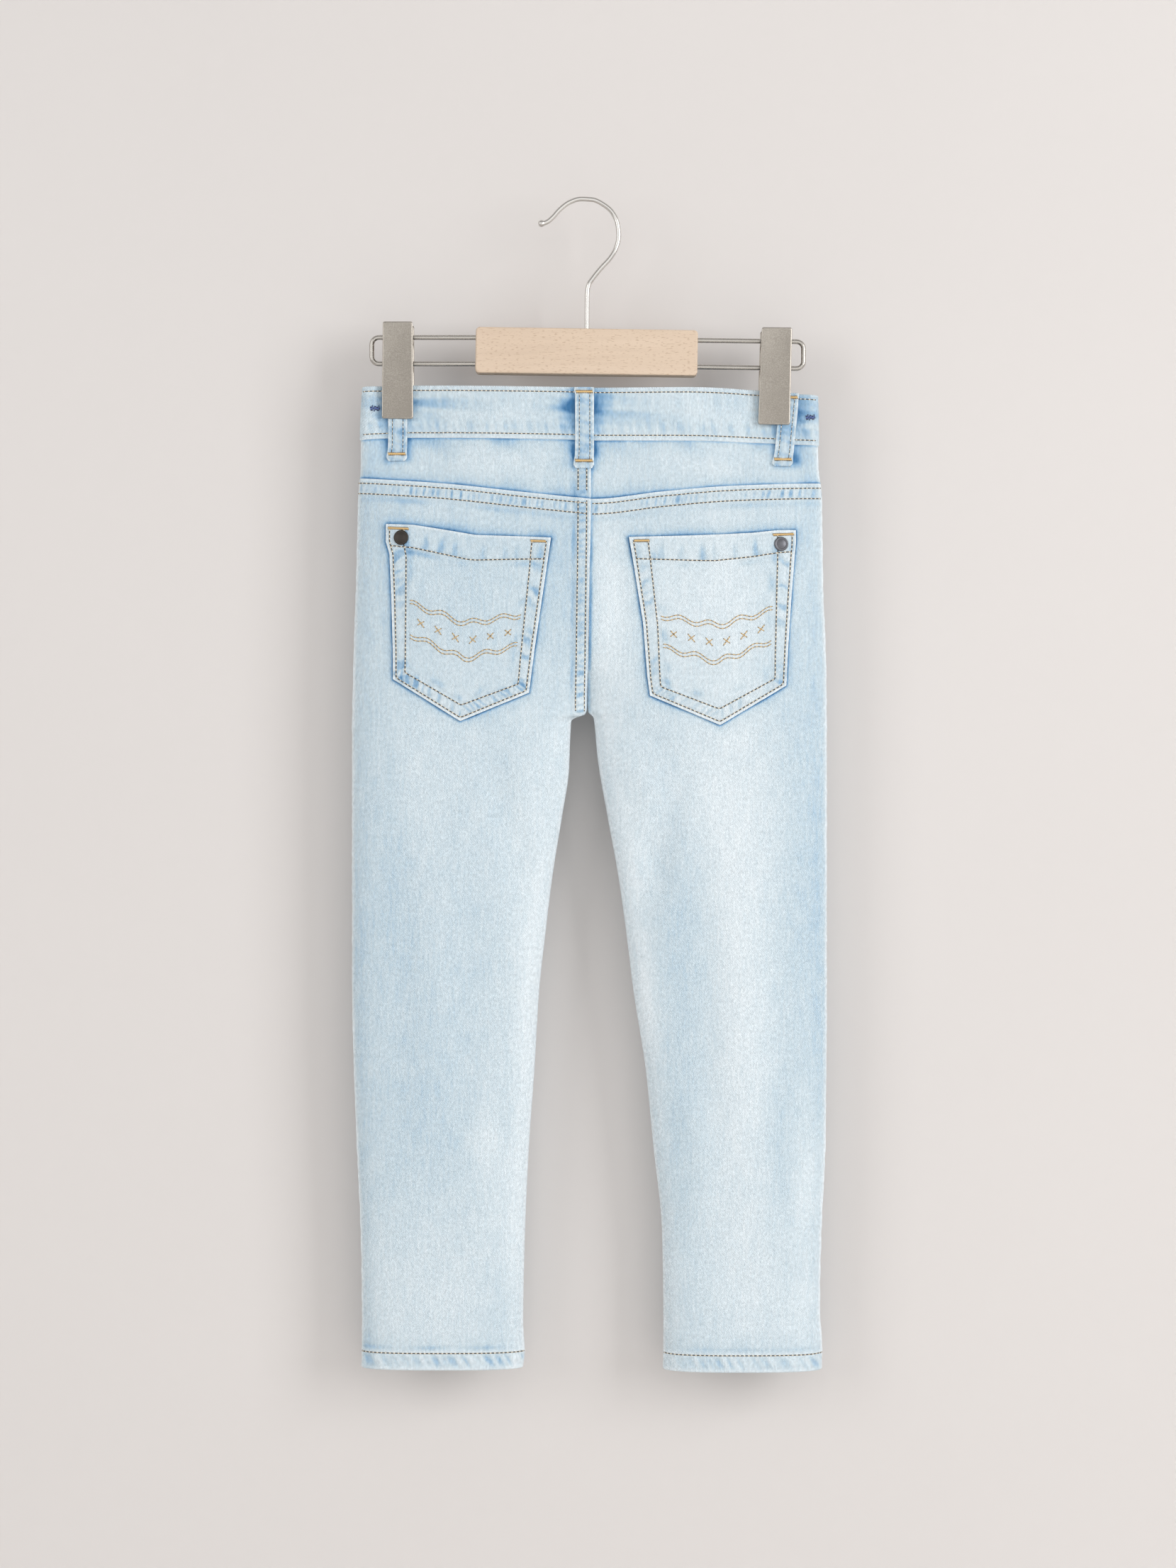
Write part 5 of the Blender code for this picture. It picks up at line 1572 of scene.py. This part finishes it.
def sew_panels():
    for side, start, end in (("left", -144.5, 2.0), ("right", 5.5, 152.5)):
        x = np.arange(start, end, LINE_STEP)
        for row in STITCH_ROWS:
            sew_panel(side, BACK, x, YOKE_SEAM("z", x) - row, back_leg_relief)
    for row in CENTRE_ROWS:
        for face, start, end, relief_of in (
            (BACK, -156.0, -188.0, yoke_relief),
            (BACK, -194.0, CROTCH_Z + 4.0, back_leg_relief),
            (FRONT, -238.0, CROTCH_Z + 7.0, front_leg_relief),
        ):
            z = np.arange(start, end, -LINE_STEP)
            sew_panel("left", face, centre_seam(z, 7.0) - row, z, relief_of)
    for side in ("left", "right"):
        u = np.linspace(0.006, 0.994, 160)
        z = np.full(u.shape, HEM_Z[side] + HEM_ROW)
        x = x_across(side, u, z)
        for face, relief_of in ((BACK, back_leg_relief), (FRONT, front_leg_relief)):
            sew_panel(side, face, x, z, relief_of)
        u = np.linspace(0.01, 0.41, 150)
        for row in SCOOP_ROWS:
            z = front_band_line(side, u) - scoop(u) - row
            x = x_across(side, u, z)
            keep = z < band_edge(FRONT, x, "bottom") - 1.5
            sew_panel(side, FRONT, x[keep], z[keep], front_leg_relief)
    # a small blue tack near each end of the waistband
    for x_tack, z_tack in ((-134.5, -134.2), (145.3, -140.0)):
        for k in range(9):
            spot_x = np.array([x_tack - 2.6 + 0.62 * k, x_tack - 1.9 + 0.62 * k])
            spot_z = np.array([z_tack + 2.3 - 0.8 * (k % 2), z_tack - 2.2 + 0.9 * (k % 3)])
            points, out = place_xz(BACK, spot_x, spot_z)
            sew("blue", points + out * (BAND_RAISE + 0.05), out, radius=0.36)


# Rivets and button

def add_turned(node, centre, way, profile, material):
    """A round stud turned from (radius, height) pairs."""
    way = unit(np.asarray(way, float))
    across_x = unit(np.cross(way, (0.0, 0.0, 1.0)))
    across_z = np.cross(across_x, way)
    profile = np.array(profile)
    steps = np.arange(len(profile))
    fine = np.linspace(0, len(profile) - 1, 4 * len(profile))
    radius = np.interp(fine, steps, profile[:, 0])
    height = np.interp(fine, steps, profile[:, 1])
    cosines, sines = circle(40)
    ring = cosines[:, None] * across_x + sines[:, None] * across_z
    points = centre + ring[:, None] * radius[None, :, None] + way * height[None, :, None]
    add_solid(f"metal_{node}", node, points, material, flip=True, closed=True)


def add_studs():
    for node, x, z, r, material, slot in (
        ("rivet_left", -116.6, -217.6, 4.8, DARK_METAL, "rivet_dark"),
        ("rivet_right", 126.0, -221.8, 4.6, PALE_METAL, "rivet_pale"),
    ):
        points, out = place_xz(BACK, np.array([x]), np.array([z]))
        centre = points[0] + out[0] * (POCKET_RAISE + 0.4)
        profile = ((r * 0.97, 0.0), (r, 0.5), (r * 0.97, 0.95), (r * 0.88, 1.22), (r * 0.76, 1.2),
                   (r * 0.66, 1.02), (r * 0.60, 1.12), (r * 0.3, 1.42), (0.05, 1.5))
        add_turned(node, centre, out[0], profile, material)
    x = 1.5
    z = float(band_edge(FRONT, x, "top") + band_edge(FRONT, x, "bottom")) / 2
    points, _ = place_xz(FRONT, np.array([x]), np.array([z]))
    centre = points[0] + np.array([0.0, BAND_RAISE + 0.2, 0.0])
    r = 7.8
    profile = ((r * 0.45, 0.0), (r * 0.45, 0.9), (r * 0.95, 1.0), (r, 1.5), (r * 0.96, 2.3),
               (r * 0.86, 2.6), (r * 0.76, 2.45), (r * 0.7, 2.2), (r * 0.35, 2.25), (0.05, 2.4))
    add_turned("button", centre, (0.0, 1.0, 0.0), profile, PALE_METAL)


# Hanger

WIRE = 1.55
HOOK = ((-29.2, -14.6), (-24.4, -13.7), (-20.3, -10.7), (-15.3, -5.2), (-9.1, -0.6), (-1.8, 1.55),
        (5.7, 1.1), (13.0, -2.3), (18.5, -7.3), (21.7, -14.4), (22.6, -22.4), (20.8, -30.1),
        (17.1, -36.5), (11.6, -42.5), (5.7, -49.8), (3.0, -54.2), (2.2, -60.0), (2.1, -81.0),
        (2.1, -93.5))
BAR = ((-69.2, -81.6), (73.4, -83.8), (72.9, -113.0), (-69.7, -111.1))
BAR_HALF = 6.5
# side, x in the bar, x at the loop, top and low heights at both
ARMS = {
    "left": (-58.0, -136.5, -87.7, -87.7, -104.7, -104.7),
    "right": (62.0, 141.5, -89.4, -90.4, -106.5, -107.7),
}
ARM_CORNER = 4.6
CLIPS = {
    "left": ((-128.8, -78.8), (-109.7, -78.8), (-109.4, -140.9), (-129.7, -140.6)),
    "right": ((114.2, -82.5), (133.6, -82.7), (132.4, -144.7), (111.9, -144.4)),
}
PLATE_WALL = 1.2
PLATE_TOP = 9.4
NEAR_LIP = 6.3
FAR_LIP = 4.3
SPRING_WALL = 0.7


def smooth_path(spots, step=0.7):
    """A smooth line through spots, close enough together to look bent, not jointed."""
    spots = np.array(spots, float)
    run = run_along(spots)
    reading = Reading("x z", [(r, *spot) for r, spot in zip(run, spots)])
    where = np.arange(0.0, run[-1], step)
    line = np.stack([reading("x", where), reading("z", where)], -1)
    for _ in range(3):
        line[1:-1] = (line[:-2] + 2 * line[1:-1] + line[2:]) / 4
    return line


def add_wire(name, node, line, radii, material):
    """A round wire along a line of (x, z) places at y = 0, with closed ends."""
    points = np.stack([line[:, 0], np.zeros(len(line)), line[:, 1]], -1)
    ahead = unit(np.gradient(points, axis=0))
    side = np.array([0.0, 1.0, 0.0])
    up = np.cross(ahead, side)
    cosines, sines = circle(18)
    ring = cosines[:, None, None] * side + sines[:, None, None] * up[None]
    add_solid(name, node, points[None] + ring * radii[None, :, None], material, closed=True)


def add_hook():
    """The hook, with a small ball on its free end."""
    line = smooth_path(HOOK)
    run = run_along(line)
    ball = np.sqrt(np.clip(2.3 ** 2 - (run - 2.0) ** 2, 0.0, None))
    radii = np.maximum(ball, np.where(run > 2.0, WIRE, 0.3))
    add_wire("wire_hook", "hanger_hook", line, radii, HOOK_METAL)


def add_arms():
    for side, (x_in, x_out, top_in, top_out, low_in, low_out) in ARMS.items():
        out = OUT[side]
        turn = ARM_CORNER
        angles = np.radians(np.linspace(0.0, 90.0, 10))
        high = [(x_out - out * turn * (1 - math.sin(a)), top_out - turn * (1 - math.cos(a))) for a in angles]
        low = [(x_out - out * turn * (1 - math.cos(a)), low_out + turn * (1 - math.sin(a))) for a in angles]
        inward = np.linspace(0.0, 1.0, 14)[:, None]
        first = np.array([x_in, top_in]) + (np.array(high[0]) - (x_in, top_in)) * inward
        last = np.array(low[-1]) + (np.array([x_in, low_in]) - low[-1]) * inward
        line = np.concatenate([first[:-1], high, low, last[1:]])
        add_wire(f"wire_arm_{side}", f"hanger_wire_{side}", line, np.full(len(line), WIRE), WIRE_METAL)


def rounded(corners, radius, steps=5):
    """The outline of four corners with each corner rounded."""
    corners = np.array(corners, float)
    outline = []
    for k in range(4):
        here = corners[k]
        one = unit(corners[k - 1] - here) * radius
        two = unit(corners[(k + 1) % 4] - here) * radius
        for i in range(steps + 1):
            a = math.pi / 2 * i / steps
            outline.append(here + one * (1 - math.sin(a)) + two * (1 - math.cos(a)))
    return np.array(outline)


def add_slab(name, node, corners, radius, half_wall, bevel, material, lean=None):
    """A flat piece with rounded corners and soft edges, which may lean out of the middle plane."""
    outline = rounded(corners, radius)
    centre = np.mean(corners, axis=0)
    half = (np.max(outline, axis=0) - np.min(outline, axis=0)) / 2
    rings = []
    angles = np.radians(np.linspace(0.0, 90.0, 5))
    profile = [(bevel[0] * (1 - math.sin(a)), half_wall - bevel[1] * (1 - math.cos(a))) for a in angles]
    sides = [(inset, -deep) for inset, deep in profile] + profile[::-1]
    for inset, y in sides:
        shrunk = centre + (outline - centre) * (1 - inset / half)
        offset = lean(shrunk[:, 1]) if lean else 0.0
        rings.append(np.stack([shrunk[:, 0], y + offset + 0 * shrunk[:, 0], shrunk[:, 1]], -1))
    shell = np.stack(rings, axis=1)
    # painted shade on the flat faces, darker towards their low right corner; the edges stay unshaded
    painted_shade = np.zeros(shell.shape[:2])
    for ring in (0, -1):
        part = (shell[:, ring][:, (0, 2)] - centre) / half
        painted_shade[:, ring] = 0.62 + 0.20 * part[:, 0] - 0.18 * part[:, 1]
    piece = add_solid(name, node, shell, material, closed=True, wash_and_shade=painted_shade)
    for polygon in piece.data.polygons:
        if len(polygon.vertices) > 4:
            polygon.use_smooth = False


def add_clips():
    for side, corners in CLIPS.items():
        high = corners[0][1]
        low = corners[2][1]
        for word, face, lip in (("near", BACK, NEAR_LIP), ("far", FRONT, FAR_LIP)):
            def lean(z, face=face, lip=lip):
                part = (z - low) / (high - low)
                return face * (lip + (PLATE_TOP - lip) * part)
            add_slab(
                f"plate_{word}_{side}", f"clip_plate_{word}_{side}", corners, 1.3,
                PLATE_WALL / 2, (1.1, 0.5), CLIP_METAL, lean,
            )
        add_spring(side, sum(c[0] for c in corners) / 4, sum(ARMS[side][2:]) / 4)


def add_spring(side, middle_x, middle_z):
    """A bent strip between the two wires of an arm, open towards the front of the jeans."""
    edge_x = np.array([-6.0, -5.7, 5.7, 6.0])
    wall = np.array([0.2, 0.0, 0.0, 0.2])
    across_x = np.stack([edge_x, 0 * edge_x, 0 * edge_x], -1)
    rings = []
    for a in np.linspace(math.radians(6.0), math.radians(354.0), 64):
        way = np.array([0.0, math.cos(a), math.sin(a)])
        base = np.array([middle_x, -0.28 + 7.3 * math.cos(a), middle_z + 6.55 * math.sin(a)])
        outer = base + across_x - way * wall[:, None]
        inner = (base + across_x - way * (SPRING_WALL - wall)[:, None])[::-1]
        rings.append(np.concatenate([outer, inner, outer[:1]]))
    add_solid(f"spring_{side}", f"clip_spring_{side}", np.stack(rings), WIRE_METAL)


# Stage

# Millimetres a pixel, and the origin's place on the photo, in pixels
SCALE = 0.4565
PHOTO_WIDTH = 1659
PHOTO_HEIGHT = 2212
ORIGIN_PX = (823.5, 284.0)
CAMERA_AWAY = 2.0
# In metres: the wall stands close behind and leans a little, nearer to the hems than to the hook
WALL_Y = 0.038
WALL_LEAN = 0.008
WALL_HALF = 3.0
WALL_TOP = 2.0
FLOOR_Z = -1.3
FLOOR_NEAR = -5.0
FLOOR_FAR = 5.0
FLOOR_HALF = 4.0
WORLD_COLOUR = (1.0, 0.985, 0.97, 1.0)
WORLD_STRENGTH = 0.43
# Name, place, width and height, and power of each area light, all aimed at one place
LIGHTS_AIM = (0.0, 0.0, -0.4)
LIGHTS = (
    ("right", (2.2, -1.8, 0.3), (1.2, 1.8), 34.0),
    ("left", (-2.1, -2.0, 0.3), (1.2, 1.8), 16.5),
    ("front", (0.4, -2.9, -0.1), (2.6, 3.2), 20.5),
    ("behind", (0.3, 1.8, 0.2), (1.6, 1.6), 10.0),
)


def add_camera():
    """Face on, with the photo's middle in the middle and its scale at the garment."""
    data = bpy.data.cameras.new("camera")
    data.sensor_fit = "VERTICAL"
    data.sensor_height = 24.0
    tall = PHOTO_HEIGHT * SCALE * MM
    data.lens = data.sensor_height * CAMERA_AWAY / tall
    camera = in_scene("camera", data)
    x = (PHOTO_WIDTH / 2 - ORIGIN_PX[0]) * SCALE * MM
    z = (ORIGIN_PX[1] - PHOTO_HEIGHT / 2) * SCALE * MM
    camera.location = (x, -CAMERA_AWAY, z)
    camera.rotation_euler = (math.pi / 2, 0.0, 0.0)
    bpy.context.scene.camera = camera


def plane(name, half, first, last, material):
    """A flat backdrop from one edge at (y, z) to another, as wide as twice its half."""
    corners = [(-half, *first), (half, *first), (half, *last), (-half, *last)]
    mesh = bpy.data.meshes.new(name)
    mesh.from_pydata(corners, [], [(0, 1, 2, 3)])
    mesh.materials.append(material)
    in_scene(name, mesh)


def wall_material():
    """Warm pale paint that can't be seen from behind and lets some of the light through."""
    m = Nodes("wall", (0.78, 0.74, 0.71))
    tone = m.noise(m.object_place(), 3.0)
    m.surface(
        m.ramp(tone, ((0.3, (0.755, 0.723, 0.706)), (0.7, (0.765, 0.733, 0.716)))),
        Roughness=0.95, Specular_IOR_Level=0.1,
    )
    behind = m.add("ShaderNodeNewGeometry").outputs["Backfacing"]
    lit = m.math("MULTIPLY", m.add("ShaderNodeLightPath").outputs["Is Shadow Ray"], 0.35)
    mix = m.add("ShaderNodeMixShader")
    m.join(m.math("MAXIMUM", behind, lit), mix.inputs[0])
    m.join(m.shader.outputs[0], mix.inputs[1])
    m.join(m.add("ShaderNodeBsdfTransparent").outputs[0], mix.inputs[2])
    m.join(mix.outputs[0], m.tree.nodes["Material Output"].inputs["Surface"])
    return m.material


def floor_material():
    m = Nodes("floor", (0.8, 0.78, 0.76))
    tone = m.noise(m.object_place(), 5.0)
    m.surface(m.ramp(tone, ((0.3, (0.78, 0.76, 0.74)), (0.7, (0.80, 0.78, 0.76)))), Roughness=0.9)
    return m.material


def area_light(name, where, size, power):
    data = bpy.data.lights.new(name, "AREA")
    data.shape = "RECTANGLE"
    data.size, data.size_y = size
    data.energy = power
    body = in_scene(name, data)
    body.location = where
    body.rotation_euler = (Vector(LIGHTS_AIM) - Vector(where)).to_track_quat("-Z", "Y").to_euler()
    body.visible_camera = False


def add_stage():
    scene = bpy.context.scene
    scene.view_settings.view_transform = "Standard"
    scene.view_settings.look = "None"
    low, top = ((WALL_Y + WALL_LEAN * z, z) for z in (FLOOR_Z, WALL_TOP))
    plane("wall", WALL_HALF, low, top, wall_material())
    plane("floor", FLOOR_HALF, (FLOOR_NEAR, FLOOR_Z), (FLOOR_FAR, FLOOR_Z), floor_material())
    world = bpy.data.worlds.new("world")
    world.use_nodes = True
    sky = world.node_tree.nodes["Background"]
    sky.inputs["Color"].default_value = WORLD_COLOUR
    sky.inputs["Strength"].default_value = WORLD_STRENGTH
    scene.world = world
    for light in LIGHTS:
        area_light(*light)


def main():
    add_camera()
    add_legs()
    add_yokes()
    add_facings()
    add_waistband()
    sew_band()
    add_loops()
    add_pockets()
    add_fly()
    sew_panels()
    finish_sewing()
    add_studs()
    add_hook()
    add_arms()
    add_slab("wood_bar", "hanger_bar", BAR, 2.6, BAR_HALF, (1.0, 1.0), BEECH)
    add_clips()
    add_stage()


main()
